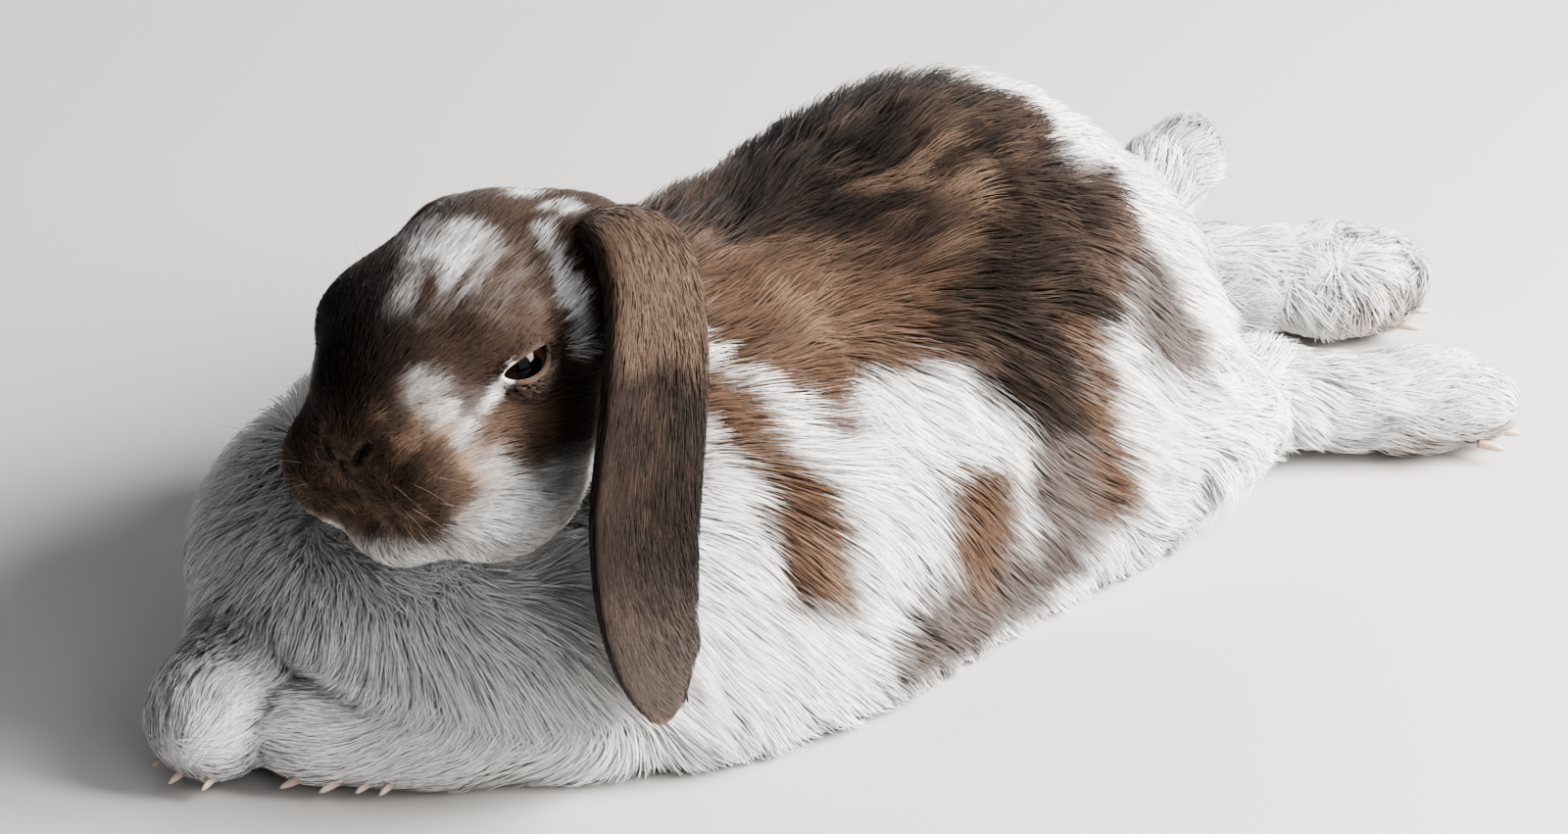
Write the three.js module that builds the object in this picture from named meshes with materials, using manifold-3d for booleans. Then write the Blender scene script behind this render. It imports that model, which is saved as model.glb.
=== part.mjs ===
// A mini lop rabbit lying stretched on its belly: head up over its chest and turned to its left,
// forepaws together in front, hind feet trailing behind, one ear hanging down each side.
// Frame: the rabbit faces -Y, +X is its left side, +Z is up, the floor is z = 0, millimetres.
// Every solid reaches out to the tips of the coat. The body is one smooth form, the blend of named
// masses of flesh and fur, which thin cuts part into head, neck, trunk, tail, legs and feet.
import * as THREE from 'three';
import { mergeVertices } from 'three/addons/utils/BufferGeometryUtils.js';
import Module from 'manifold-3d';

const wasm = await Module();
wasm.setup();

// Driving dimensions.
const GAP = 0.3; // between two nodes
const TRUNK_HALF_WIDTH = 81;
const SHOULDER_HEIGHT = 101;
const BACK_HEIGHT = 132;
const HEAD_PLACE = [18.5, -169, 115.5]; // the point between the eyes
const HEAD_YAW = 22; // degrees towards the rabbit's left
const HEAD_NOD = -2; // positive lowers the nose
const HEAD_TILT = -5; // negative raises the left eye
const FACE_HALF_WIDTH = 28;
const CROWN_HEIGHT = 30; // above the eyes
const EYE_RADIUS = 8.5;
const EYE_OFFSET = [25, -1, 0]; // of the left eye, in the head's own axes
const EAR_HALF_WIDTH = 18.5;
const PAW_RADIUS = 15;
const FOOT_HALF_WIDTH = 21;
const TAIL_RADIUS = 18;
const NECK_LENGTH = 22; // along the neck, between the head's cut and the trunk's
const CLAW_LENGTH = 8;
const CLAW_RADII = [1.9, 1.5]; // at the root, and where it leaves the fur
const CLAW_HOOK = 0.7; // how far it bends down
const CLAW_IN_FUR = 0.75; // the share of its length that the toe hides

// How finely each node is faceted: the size of a facet, or a count of them.
const TRUNK_CELL = 18;
const LEG_CELL = 13;
const HEAD_CELL = 7.8;
const PAW_CELL = 9.1;
const EAR_RINGS = 14;
const EAR_SIDES = 10;
const CLAW_SIDES = 5;
const SLIVER = 0.25; // edges shorter than this are welded away

// ---- Places and turns ----

const UP = new THREE.Vector3(0, 0, 1);
const vec = (xyz) => new THREE.Vector3(...xyz);

function turn({ yaw = 0, nod = 0, tilt = 0 }) {
  const angles = [nod, tilt, yaw].map(THREE.MathUtils.degToRad);
  return new THREE.Quaternion().setFromEuler(new THREE.Euler(...angles, 'ZXY'));
}

const UPRIGHT = turn({});
const HEAD_TURN = turn({ yaw: HEAD_YAW, nod: HEAD_NOD, tilt: HEAD_TILT });

/** A point given in the head's own axes: x to its left, y to its back, z up, from between the eyes. */
function onHead(xyz) {
  return vec(xyz).applyQuaternion(HEAD_TURN).add(vec(HEAD_PLACE)).toArray();
}

function turnOnHead(angles) {
  return HEAD_TURN.clone().multiply(turn(angles));
}

// ---- Masses: the ellipsoids and tapered limbs that blend into the body ----

/** An ellipsoid. blend is the width over which it melts into its neighbours. */
function ball(at, radii, blend, turned = UPRIGHT) {
  const centre = vec(at);
  const unturn = turned.clone().invert();
  const size = vec(radii);
  return {
    blend,
    distance(point) {
      const local = point.clone().sub(centre).applyQuaternion(unturn).divide(size);
      const reach = local.length() + 1e-9;
      return (reach * (reach - 1)) / (local.divide(size).length() + 1e-9);
    },
  };
}

/** A limb with round ends, from one centre and radius to another. */
function limb(from, fromRadius, to, toRadius, blend) {
  const start = vec(from);
  const along = vec(to).sub(start);
  return {
    blend,
    distance(point) {
      const local = point.clone().sub(start);
      const share = THREE.MathUtils.clamp(local.dot(along) / along.lengthSq(), 0, 1);
      const radius = THREE.MathUtils.lerp(fromRadius, toRadius, share);
      return local.addScaledVector(along, -share).length() - radius;
    },
  };
}

const trunkMasses = [
  ball([0, -124, 36], [TRUNK_HALF_WIDTH, 80, SHOULDER_HEIGHT - 36], 30), // chest
  ball([-16, -160, 34], [62, 60, 39], 24), // dewlap
  ball([2, -64, 38], [TRUNK_HALF_WIDTH, 92, 75], 30), // ribs
  ball([-2, 8, 50], [74, 72, BACK_HEIGHT - 50], 34), // loin
  ball([-10, 52, 48], [57, 53, 46], 24), // pelvis
  ball([5, -84, 12], [TRUNK_HALF_WIDTH + 2, 98, 26], 30), // fur spread on the floor, fore
  ball([2, 12, 14], [68, 74, 24], 30), // and aft
  limb([6, -118, 70], 50, onHead([0, 30, -12]), 33, 20), // neck
];

const headMasses = [
  ball(onHead([0, 25, -4]), [31, 38, CROWN_HEIGHT + 4], 14, HEAD_TURN), // skull
  ball(onHead([0, -2, -4]), [FACE_HALF_WIDTH, 31, 25.5], 14, HEAD_TURN), // face
  ball(onHead([0, -20, -10]), [17.5, 20.5, 20.5], 10, turnOnHead({ nod: 24 })), // bridge of the nose
  ball(onHead([0, -31, -15]), [9, 8.5, 9], 8, HEAD_TURN), // nose
  ball(onHead([0, -20, -34]), [13, 15, 11], 8, HEAD_TURN), // chin
];
for (const side of [1, -1]) {
  headMasses.push(
    ball(onHead([14 * side, -26, -24]), [14, 14, 16.5], 7, turnOnHead({ tilt: -16 * side })), // lip
    ball(onHead([20 * side, 6, -26]), [16, 26, 23.5], 12, HEAD_TURN), // cheek
    ball(onHead([20 * side, 1, 7]), [9.5, 14, 8], 10, HEAD_TURN), // brow
    ball(onHead([16 * side, 44, 10 + 4 * side]), [15, 14, 12], 10, HEAD_TURN), // root of the ear
  );
}

const hindLegMasses = [
  ball([44, 40, 30], [36, 52, 34], 22, turn({ yaw: -8 })), // left thigh
  limb([40, 72, 22], 24, [38, 100, 19], 19, 14), // left shank
  ball([-46, 44, 32], [33, 54, 33], 22, turn({ yaw: 10 })), // right thigh
  limb([-40, 78, 27], 26, [-34, 112, 23], 22, 14), // right shank
];

const footMasses = [
  limb([38, 100, 18], 18, [60, 134, 16], 17, 8), // left hind foot
  ball([65, 145, 15], [FOOT_HALF_WIDTH - 1, 25, 16], 10, turn({ yaw: -40 })),
  limb([-32, 118, 21], 21, [-8, 158, 19], 19, 8), // right hind foot
  ball([-2, 171, 18], [FOOT_HALF_WIDTH + 2, 27, 19], 10, turn({ yaw: -24 })),
  limb([50, -150, 22], 22, [36, -184, 16], PAW_RADIUS + 1.5, 12), // left foreleg
  limb([36, -184, 16], PAW_RADIUS + 1.5, [19, -210, PAW_RADIUS - 0.5], PAW_RADIUS, 8), // left paw
  limb([-30, -168, 26], 20, [-12, -208, 20], PAW_RADIUS + 3, 12), // right foreleg
  limb([-10, -208, 19], PAW_RADIUS + 4, [1, -230, PAW_RADIUS + 3], PAW_RADIUS + 3.5, 8), // right paw
];

const tailMasses = [limb([-20, 92, 54], TAIL_RADIUS, [-36, 128, 58], TAIL_RADIUS - 0.5, 8)];

const BODY = [...trunkMasses, ...headMasses, ...hindLegMasses, ...footMasses, ...tailMasses];

/** Signed distance to the tips of the coat, negative inside. */
function coatDistance(point) {
  let depth = Infinity;
  for (const mass of BODY) {
    const next = mass.distance(point);
    const overlap = Math.max(mass.blend - Math.abs(depth - next), 0);
    depth = Math.min(depth, next) - (overlap * overlap) / (4 * mass.blend);
  }
  return depth;
}

// ---- Solids ----

/** A geometry as a solid, placed by a matrix. */
function solid(geometry, matrix = new THREE.Matrix4()) {
  const bare = geometry.clone().applyMatrix4(matrix);
  bare.deleteAttribute('normal');
  bare.deleteAttribute('uv');
  const merged = mergeVertices(bare, 1e-4);
  const mesh = new wasm.Mesh({
    numProp: 3,
    vertProperties: new Float32Array(merged.attributes.position.array),
    triVerts: new Uint32Array(merged.index.array),
  });
  return new wasm.Manifold(mesh);
}

/** The geometry of a solid, with the slivers that cutting leaves welded shut. */
function geometryOf(manifold) {
  const { vertProperties, triVerts } = manifold.getMesh();
  const cut = new THREE.BufferGeometry();
  cut.setAttribute('position', new THREE.BufferAttribute(new Float32Array(vertProperties), 3));
  cut.setIndex(new THREE.BufferAttribute(new Uint32Array(triVerts), 1));
  const geometry = mergeVertices(cut, SLIVER);
  const corners = Array.from(geometry.index.array);
  const isFlat = (start) => new Set(corners.slice(start, start + 3)).size < 3;
  geometry.setIndex(corners.filter((_, index) => !isFlat(index - (index % 3))));
  geometry.computeVertexNormals();
  return geometry;
}

/** The largest of a solid's loose pieces: a cut may leave crumbs. */
function largestPiece(manifold) {
  const pieces = manifold.decompose();
  return pieces.reduce((best, piece) => (piece.volume() > best.volume() ? piece : best));
}

/** A solid closed over rings of points of equal count, with a point at each end. */
function loft(rings, startPoint, endPoint) {
  const sides = rings[0].length;
  const points = [...rings.flat(), startPoint, endPoint];
  const start = points.length - 2;
  const end = points.length - 1;
  const last = (rings.length - 1) * sides;
  const triangles = [];
  for (let side = 0; side < sides; side += 1) {
    const next = (side + 1) % sides;
    for (let ring = 0; ring < rings.length - 1; ring += 1) {
      const a = ring * sides + side;
      const b = ring * sides + next;
      triangles.push(a, b, b + sides, a, b + sides, a + sides);
    }
    triangles.push(start, next, side, end, last + side, last + next);
  }
  const geometry = new THREE.BufferGeometry().setFromPoints(points);
  geometry.setIndex(triangles);
  return solid(geometry);
}

// ---- The body's surface as a net ----
// The box round a piece is filled with cubic cells. Each cell that the surface crosses gets one
// vertex, and each edge that it crosses gets a facet between the four cells round that edge.

/** Samples the body at the corners of the cells. The outer layer counts as outside, which closes
 *  the net. swell moves the surface outwards. */
function sampleBody(from, to, cell, swell) {
  const low = from.map((value) => Math.floor(value / cell) * cell);
  const counts = low.map((value, axis) => Math.ceil((to[axis] - value) / cell) + 1);
  const [nx, ny, nz] = counts;
  const samples = new Float32Array(nx * ny * nz);
  const isOuter = (place) => place.some((step, axis) => step === 0 || step === counts[axis] - 1);
  let index = 0;
  for (let k = 0; k < nz; k += 1) {
    for (let j = 0; j < ny; j += 1) {
      for (let i = 0; i < nx; i += 1) {
        const point = new THREE.Vector3(i, j, k).multiplyScalar(cell).add(vec(low));
        samples[index] = isOuter([i, j, k]) ? cell : coatDistance(point) - swell;
        index += 1;
      }
    }
  }
  return { low, counts, cell, samples, strides: [1, nx, nx * ny] };
}

const CELL_CORNERS = [0, 1, 2, 3, 4, 5, 6, 7].map((bits) => [bits & 1, (bits >> 1) & 1, bits >> 2]);

/** The mean of the points where the surface crosses a cell's edges, in cells from the cell's own
 *  corner, or null. */
function crossingIn({ samples, strides }, start) {
  const valueAt = ([x, y, z]) => samples[start + x * strides[0] + y * strides[1] + z * strides[2]];
  const sum = new THREE.Vector3();
  let crossings = 0;
  for (const corner of CELL_CORNERS) {
    for (const axis of [0, 1, 2].filter((other) => corner[other] === 0)) {
      const next = corner.map((bit, other) => (other === axis ? 1 : bit));
      const here = valueAt(corner);
      const there = valueAt(next);
      if (here < 0 === there < 0) continue;
      sum.add(vec(corner).lerp(vec(next), here / (here - there)));
      crossings += 1;
    }
  }
  return crossings > 0 ? sum.divideScalar(crossings) : null;
}

/** The net's vertices, and which cell has which. */
function netVertices(grid) {
  const [nx, ny, nz] = grid.counts;
  const points = [];
  const vertexOf = new Map();
  for (let k = 0; k < nz - 1; k += 1) {
    for (let j = 0; j < ny - 1; j += 1) {
      for (let i = 0; i < nx - 1; i += 1) {
        const start = i + j * grid.strides[1] + k * grid.strides[2];
        const crossing = crossingIn(grid, start);
        if (!crossing) continue;
        vertexOf.set(start, points.length);
        points.push(crossing.add(new THREE.Vector3(i, j, k)).multiplyScalar(grid.cell).add(vec(grid.low)));
      }
    }
  }
  return { points, vertexOf };
}

/** Two triangles of a quad, split along its shorter diagonal. */
function splitQuad([a, b, c, d], points) {
  const firstIsShorter = points[a].distanceTo(points[c]) < points[b].distanceTo(points[d]);
  return firstIsShorter ? [a, b, c, a, c, d] : [a, b, d, b, c, d];
}

function netFacets({ samples, strides }, { points, vertexOf }) {
  const triangles = [];
  for (let axis = 0; axis < 3; axis += 1) {
    const one = strides[(axis + 1) % 3];
    const two = strides[(axis + 2) % 3];
    for (const start of vertexOf.keys()) {
      const isInside = samples[start] < 0;
      if (isInside === samples[start + strides[axis]] < 0) continue;
      const quad = [start - one - two, start - two, start, start - one].map((cell) => vertexOf.get(cell));
      if (quad.includes(undefined)) continue;
      triangles.push(...splitQuad(isInside ? quad : quad.reverse(), points));
    }
  }
  return triangles;
}

/** The body within a box, as a solid. */
function netOfBody(from, to, cell, swell = 0) {
  const grid = sampleBody(from, to, cell, swell);
  const vertices = netVertices(grid);
  const geometry = new THREE.BufferGeometry().setFromPoints(vertices.points);
  geometry.setIndex(netFacets(grid, vertices));
  return solid(geometry);
}

// ---- Cuts ----

/** A box that starts at a plane through a point and runs on along a direction.
 *  size is its width, level across the direction, its height and its length. */
function blockBeyond(point, direction, size, grow = 0) {
  const along = vec(direction).normalize();
  const isLevel = Math.abs(along.z) < 0.99;
  const across = (isLevel ? UP.clone() : new THREE.Vector3(0, 1, 0)).cross(along).normalize();
  const matrix = new THREE.Matrix4().makeBasis(across, along.clone().cross(across), along);
  matrix.setPosition(vec(point).addScaledVector(along, size[2] / 2));
  const [width, height, length] = size.map((side) => side + 2 * grow);
  return solid(new THREE.BoxGeometry(width, height, length), matrix);
}

/** An ellipsoid that cuts a rounded piece, such as a thigh, out of the body. */
function roundCutter(at, radii, turned, grow) {
  const matrix = new THREE.Matrix4().compose(vec(at), turned, vec(radii).addScalar(grow));
  return solid(new THREE.SphereGeometry(1, 14, 9), matrix);
}

const HEAD_UP = UP.clone().applyQuaternion(HEAD_TURN).toArray();
const NECK_DIRECTION = [0.04, -0.57, 0.82];
const NAPE = [7.2, -136.4, 96.4]; // a point in the cut between head and neck
const JAW_DROP = 52; // from the eyes down to the cut under the chin
const THROAT_DEPTH = 14; // how much of the fur under the chin belongs to the neck
const WIDE = [280, 280, 280];

/** What lies above both the nape and the throat, each lowered by a depth. */
function aboveNapeAndThroat(alongNeck, belowChin, grow) {
  const nape = vec(NAPE).addScaledVector(vec(NECK_DIRECTION), -alongNeck).toArray();
  const throat = onHead([0, 0, -JAW_DROP - belowChin]);
  const overNape = blockBeyond(nape, NECK_DIRECTION, WIDE, grow);
  return overNape.intersect(blockBeyond(throat, HEAD_UP, WIDE, grow));
}

// Each node takes its cutter as it is, and what comes later loses it grown by the gap.
// The trunk is what is left.
const cutters = {
  head: (grow) => aboveNapeAndThroat(0, 0, grow),
  neck: (grow) => aboveNapeAndThroat(NECK_LENGTH, THROAT_DEPTH, grow),
  forepaw_right: (grow) => blockBeyond([-20, -206, 10], [0.44, -0.9, 0], [54, 66, 60], grow),
  forepaw_left: (grow) => blockBeyond([34, -186, 4], [-0.55, -0.84, 0], [50, 62, 60], grow),
  foreleg_right: (grow) => roundCutter([-22, -182, 14], [26, 38, 36], turn({ yaw: 24 }), grow),
  foreleg_left: (grow) => roundCutter([43, -168, 10], [25, 36, 34], turn({ yaw: -22 }), grow),
  tail: (grow) => blockBeyond([-23, 97, 66], [-0.4, 0.9, 0.1], [48, 46, 70], grow),
  hindfoot_left: (grow) => blockBeyond([38, 103, 18], [0.5, 0.86, 0], [80, 80, 90], grow),
  hindfoot_right: (grow) => blockBeyond([-33, 117, 20], [0.4, 0.92, 0], [80, 60, 90], grow),
  hindleg_left: (grow) => roundCutter([44, 50, 22], [46, 74, 52], turn({ yaw: -2 }), grow),
  hindleg_right: (grow) => roundCutter([-50, 58, 22], [42, 78, 52], turn({ yaw: 6 }), grow),
};

const belowFloor = blockBeyond([0, 0, 0], [0, 0, -1], [800, 800, 100]);

/** The part of the body that a node's own cutter takes after the earlier cutters. */
function cutNode(name, low, high, cell) {
  let piece = netOfBody(low, high, cell).subtract(belowFloor);
  for (const [other, cutter] of Object.entries(cutters)) {
    if (other === name) {
      piece = piece.intersect(cutter(0));
      break;
    }
    piece = piece.subtract(cutter(GAP));
  }
  return largestPiece(piece);
}

// ---- Claws ----

/** The place where a line from inside the body leaves it. */
function exitFromBody(start, direction) {
  const place = start.clone();
  while (coatDistance(place) < 0) {
    place.addScaledVector(direction, 0.5);
  }
  return place;
}

/** Points on a circle that faces along a direction. */
function ringRound(centre, direction, radius) {
  const facing = new THREE.Quaternion().setFromUnitVectors(UP, direction);
  return Array.from({ length: CLAW_SIDES }, (_, corner) => {
    const angle = (2 * Math.PI * corner) / CLAW_SIDES;
    const offset = new THREE.Vector3(Math.cos(angle), Math.sin(angle), 0).multiplyScalar(radius);
    return offset.applyQuaternion(facing).add(centre);
  });
}

/** The four claws of a paw: hooked points that stand out of the fur of the toes.
 *  grow makes the sockets that they sit in. */
function clawsOf({ at, towards, spread }, grow = 0) {
  const forward = vec(towards).normalize();
  const across = UP.clone().cross(forward);
  return [-1.5, -0.5, 0.5, 1.5].map((toe) => {
    const heading = forward.clone().addScaledVector(across, toe * 0.16).normalize();
    const root = exitFromBody(vec(at).addScaledVector(across, toe * spread), heading);
    const reaches = [-CLAW_IN_FUR * CLAW_LENGTH - grow, 0, (1 - CLAW_IN_FUR) * CLAW_LENGTH];
    const path = reaches.map((reach, index) => {
      const place = root.clone().addScaledVector(heading, reach);
      return place.addScaledVector(UP, -CLAW_HOOK * index);
    });
    const rings = CLAW_RADII.map((radius, index) => ringRound(path[index], heading, radius + grow));
    return loft(rings, path[0], path[2]);
  });
}

// ---- Ears ----

// Stations along each ear's middle line, in the head's own axes: place, then the half width as a
// share of the widest, the half thickness, and how far the two rims curl in towards the head.
const EAR_STATIONS = {
  left: [
    [20, 42, 8, 0.6, 9, 0],
    [31, 41, 18, 0.84, 9, 0],
    [41, 35, 15, 0.92, 8, 2],
    [47, 27, 3, 0.96, 7, 4],
    [51.5, 16, -13, 1.04, 6, 5],
    [56, 0, -40, 1.1, 4.5, 6],
    [60.5, -5, -63, 1, 4, 5],
    [64.5, -2, -80, 0.75, 3.5, 3],
    [66.5, 2, -88, 0.3, 2.5, 1],
  ],
  right: [
    [-16, 46, 4, 0.6, 9, 0],
    [-27, 51, 8, 0.76, 8, 0],
    [-37, 54, 1, 0.81, 7, 2],
    [-44, 57, -9, 0.84, 6, 4],
    [-53, 61, -20, 0.89, 5.5, 5],
    [-69, 69, -31, 1, 4.5, 6],
    [-82, 78, -45, 0.95, 4, 5],
    [-89, 84, -65, 0.7, 3.5, 3],
    [-91, 88, -77, 0.27, 2.5, 1],
  ],
};
const EAR_WIDTH_DIRECTION = { left: [0.12, 0.93, -0.3], right: [-0.12, 0.93, -0.3] };

/** One ring of an ear: a thin oval whose rims curl in. */
function earRing(centre, across, outward, [widthShare, halfThickness, curl], side) {
  return Array.from({ length: EAR_SIDES }, (_, index) => {
    const angle = (-side * 2 * Math.PI * index) / EAR_SIDES;
    const sideways = widthShare * EAR_HALF_WIDTH * Math.cos(angle);
    const out = halfThickness * Math.sin(angle) - curl * Math.cos(angle) ** 2;
    return centre.clone().addScaledVector(across, sideways).addScaledVector(outward, out);
  });
}

/** side is 1 for the left ear and -1 for the right. */
function earSolid(name, side) {
  const stations = EAR_STATIONS[name];
  const middle = new THREE.CatmullRomCurve3(stations.map((row) => vec(onHead(row.slice(0, 3)))));
  const shape = new THREE.CatmullRomCurve3(stations.map((row) => vec(row.slice(3))));
  const wide = vec(EAR_WIDTH_DIRECTION[name]).applyQuaternion(HEAD_TURN);
  const rings = Array.from({ length: EAR_RINGS }, (_, ring) => {
    const share = ring / (EAR_RINGS - 1);
    const tangent = middle.getTangent(share);
    const across = wide.clone().addScaledVector(tangent, -wide.dot(tangent)).normalize();
    const outward = across.clone().cross(tangent).multiplyScalar(side);
    return earRing(middle.getPoint(share), across, outward, shape.getPoint(share).toArray(), side);
  });
  const tip = middle.getPoint(1).addScaledVector(middle.getTangent(1), 2);
  return loft(rings, middle.getPoint(0), tip);
}

// ---- Nodes ----

const COLOURS = {
  white: 0xe6e4df,
  brown: 0x8a6850,
  sooty: 0x574a43,
  eye: 0x1a120e,
  horn: 0xc9a898,
};

const group = new THREE.Group();

function addNode(name, manifold, color, roughness = 0.95) {
  const material = new THREE.MeshStandardMaterial({ color, roughness, metalness: 0 });
  const mesh = new THREE.Mesh(geometryOf(manifold), material);
  mesh.name = name;
  group.add(mesh);
}

function addHead() {
  let head = cutNode('head', [-60, -240, 20], [90, -60, 170], HEAD_CELL);
  for (const [name, side] of [['left', 1], ['right', -1]]) {
    const [outwards, ...rest] = EYE_OFFSET;
    const place = new THREE.Matrix4().makeTranslation(...onHead([outwards * side, ...rest]));
    const eyeball = (radius) => solid(new THREE.SphereGeometry(radius, 12, 9), place);
    head = head.subtract(eyeball(EYE_RADIUS + GAP));
    addNode(`eye_${name}`, eyeball(EYE_RADIUS), COLOURS.eye, 0.1);
  }
  addNode('head', largestPiece(head), COLOURS.brown);
}

function addEars() {
  const besideHead = netOfBody([-100, -240, 10], [110, -80, 170], HEAD_CELL, 0.8);
  for (const [name, side] of [['left', 1], ['right', -1]]) {
    const ear = largestPiece(earSolid(name, side).subtract(besideHead));
    addNode(`ear_${name}`, ear, COLOURS.sooty);
  }
}

function addTrunk() {
  addNode('neck', cutNode('neck', [-110, -240, 10], [110, -20, 150], LEG_CELL), COLOURS.brown);
  addNode('trunk', cutNode('trunk', [-110, -250, -20], [110, 140, 150], TRUNK_CELL), COLOURS.brown);
  addNode('tail', cutNode('tail', [-80, 70, 20], [20, 165, 100], PAW_CELL), COLOURS.white);
}

/** A limb's upper node, its foot and its claws. */
function addLimb(upper, foot, { low, high, toes }) {
  addNode(upper, cutNode(upper, low, high, LEG_CELL), COLOURS.white);
  let paw = cutNode(foot, low, high, PAW_CELL);
  for (const socket of clawsOf(toes, GAP)) {
    paw = paw.subtract(socket);
  }
  addNode(foot, largestPiece(paw), COLOURS.white);
  clawsOf(toes).forEach((claw, index) => {
    addNode(`claw_${foot}_${index + 1}`, claw, COLOURS.horn, 0.4);
  });
}

addHead();
addEars();
addTrunk();
addLimb('foreleg_left', 'forepaw_left', {
  low: [-12, -240, -20],
  high: [90, -120, 60],
  toes: { at: [33, -200, 6], towards: [0.08, -1, 0], spread: 4.2 },
});
addLimb('foreleg_right', 'forepaw_right', {
  low: [-70, -262, -20],
  high: [40, -130, 70],
  toes: { at: [-2, -232, 7], towards: [0.2, -0.98, 0], spread: 7 },
});
addLimb('hindleg_left', 'hindfoot_left', {
  low: [-20, -40, -20],
  high: [110, 190, 90],
  toes: { at: [68, 148, 7], towards: [0.5, 0.86, 0], spread: 7 },
});
addLimb('hindleg_right', 'hindfoot_right', {
  low: [-110, -40, -20],
  high: [50, 215, 90],
  toes: { at: [-2, 172, 8], towards: [0.4, 0.92, 0], spread: 7.5 },
});

// The origin is the middle of the model's box, on the floor.
const box = new THREE.Box3().setFromObject(group, true);
const middle = box.getCenter(new THREE.Vector3());
group.position.set(-middle.x, -middle.y, -box.min.z);

export default group;
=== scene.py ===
"""A mini lop rabbit lying stretched on a pale floor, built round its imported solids.

The solids reach out to the tips of the coat. Here one skin lies inside them by the coat's depth,
and the coat grows from it in tufts. Named masses shape both, in millimetres, as in the solids.
"""

import math

import bpy
import numpy as np
from mathutils import Matrix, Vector
from mathutils.kdtree import KDTree


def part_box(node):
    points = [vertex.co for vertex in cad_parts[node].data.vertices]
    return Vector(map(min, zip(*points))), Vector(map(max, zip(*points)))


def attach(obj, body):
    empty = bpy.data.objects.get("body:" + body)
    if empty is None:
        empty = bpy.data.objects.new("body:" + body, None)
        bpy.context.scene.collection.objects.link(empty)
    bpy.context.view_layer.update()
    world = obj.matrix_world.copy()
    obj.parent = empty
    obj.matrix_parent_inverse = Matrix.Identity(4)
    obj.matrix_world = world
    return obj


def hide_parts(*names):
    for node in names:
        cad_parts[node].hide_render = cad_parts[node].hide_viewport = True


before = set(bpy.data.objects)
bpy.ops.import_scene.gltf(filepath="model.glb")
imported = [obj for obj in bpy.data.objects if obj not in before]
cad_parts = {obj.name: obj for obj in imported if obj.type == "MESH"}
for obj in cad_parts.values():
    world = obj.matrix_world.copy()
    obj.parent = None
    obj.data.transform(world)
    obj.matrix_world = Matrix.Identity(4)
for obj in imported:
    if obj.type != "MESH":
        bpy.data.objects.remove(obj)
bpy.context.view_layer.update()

MM = 0.001
EYE_RADIUS = 8.5
LID_RADIUS = 9.5
EYE_OPENING = np.array([8.0, 0.9, 0.7])  # outwards, backwards and up from the eye's centre
EYE_OPENING_RADII = (7.8, 3.5)  # along and across
HEAD_PLACE = np.array([18.5, -169.0, 115.5])
EAR_HALF_WIDTH = 18.5


# ---- Places and turns ----

def unit(v):
    """Vectors along the last axis, at length 1."""
    v = np.asarray(v, float)
    return v / np.maximum(np.linalg.norm(v, axis=-1, keepdims=True), 1e-9)


def size(v):
    """The length of vectors along the last axis."""
    return np.sqrt(np.einsum("...i,...i", v, v))


def turn(yaw=0.0, nod=0.0, tilt=0.0):
    """Yaw turns the front to the left, nod lowers it, and tilt lowers the left side, in degrees."""
    (cz, sz), (cx, sx), (cy, sy) = [
        (math.cos(math.radians(a)), math.sin(math.radians(a))) for a in (yaw, nod, tilt)
    ]
    about_z = np.array([[cz, -sz, 0], [sz, cz, 0], [0, 0, 1]])
    about_x = np.array([[1, 0, 0], [0, cx, -sx], [0, sx, cx]])
    about_y = np.array([[cy, 0, sy], [0, 1, 0], [-sy, 0, cy]])
    return about_z @ about_x @ about_y


def ramp(value, low, high):
    """0 below low and 1 above high, smooth between."""
    share = np.clip((value - low) / (high - low), 0, 1)
    return share * share * (3 - 2 * share)


HEAD_TURN = turn(yaw=22, nod=-2, tilt=-5)


def on_head(*xyz):
    """A place in the head's own axes: x to its left, y to its back, z up, from between the eyes."""
    return HEAD_PLACE + HEAD_TURN @ np.array(xyz, float)


def along_head(*xyz):
    return HEAD_TURN @ np.array(xyz, float)


def in_head(points):
    """Places in the head's own axes."""
    return (points - HEAD_PLACE) @ HEAD_TURN


EYES = {side: on_head(25 * side, -1, 0) for side in (1, -1)}
ORIGIN = np.mean(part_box("eye_left"), 0) - EYES[1] * MM
ORIGIN[2] = 0.0


# ---- The masses that make the body ----
# Each has a coat: how deep it is, how long and wide its tufts are, how many grow on a square
# centimetre, which way it lies and how steeply it droops on the flanks, how far it gathers into
# locks, how unruly it is, and whether it grows on the head.

class Coat:
    def __init__(self, depth, length, width, density, lie, droop=0.0, clump=0.5, ruffle=0.3, head=0):
        self.depth = depth
        self.length = length
        self.width = width
        self.density = density
        self.lie = lie
        self.droop = droop
        self.clump = clump
        self.ruffle = ruffle
        self.head = head

    def numbers(self):
        blended = [self.depth, self.length, self.width, self.density, self.droop, self.clump]
        return np.array(blended + [self.ruffle, self.head, *self.lie])


def head_coat(depth, length, width, density, lie, clump, ruffle=0.08):
    return Coat(depth, length, width, density, along_head(*lie), 0, clump, ruffle, head=1)


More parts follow.
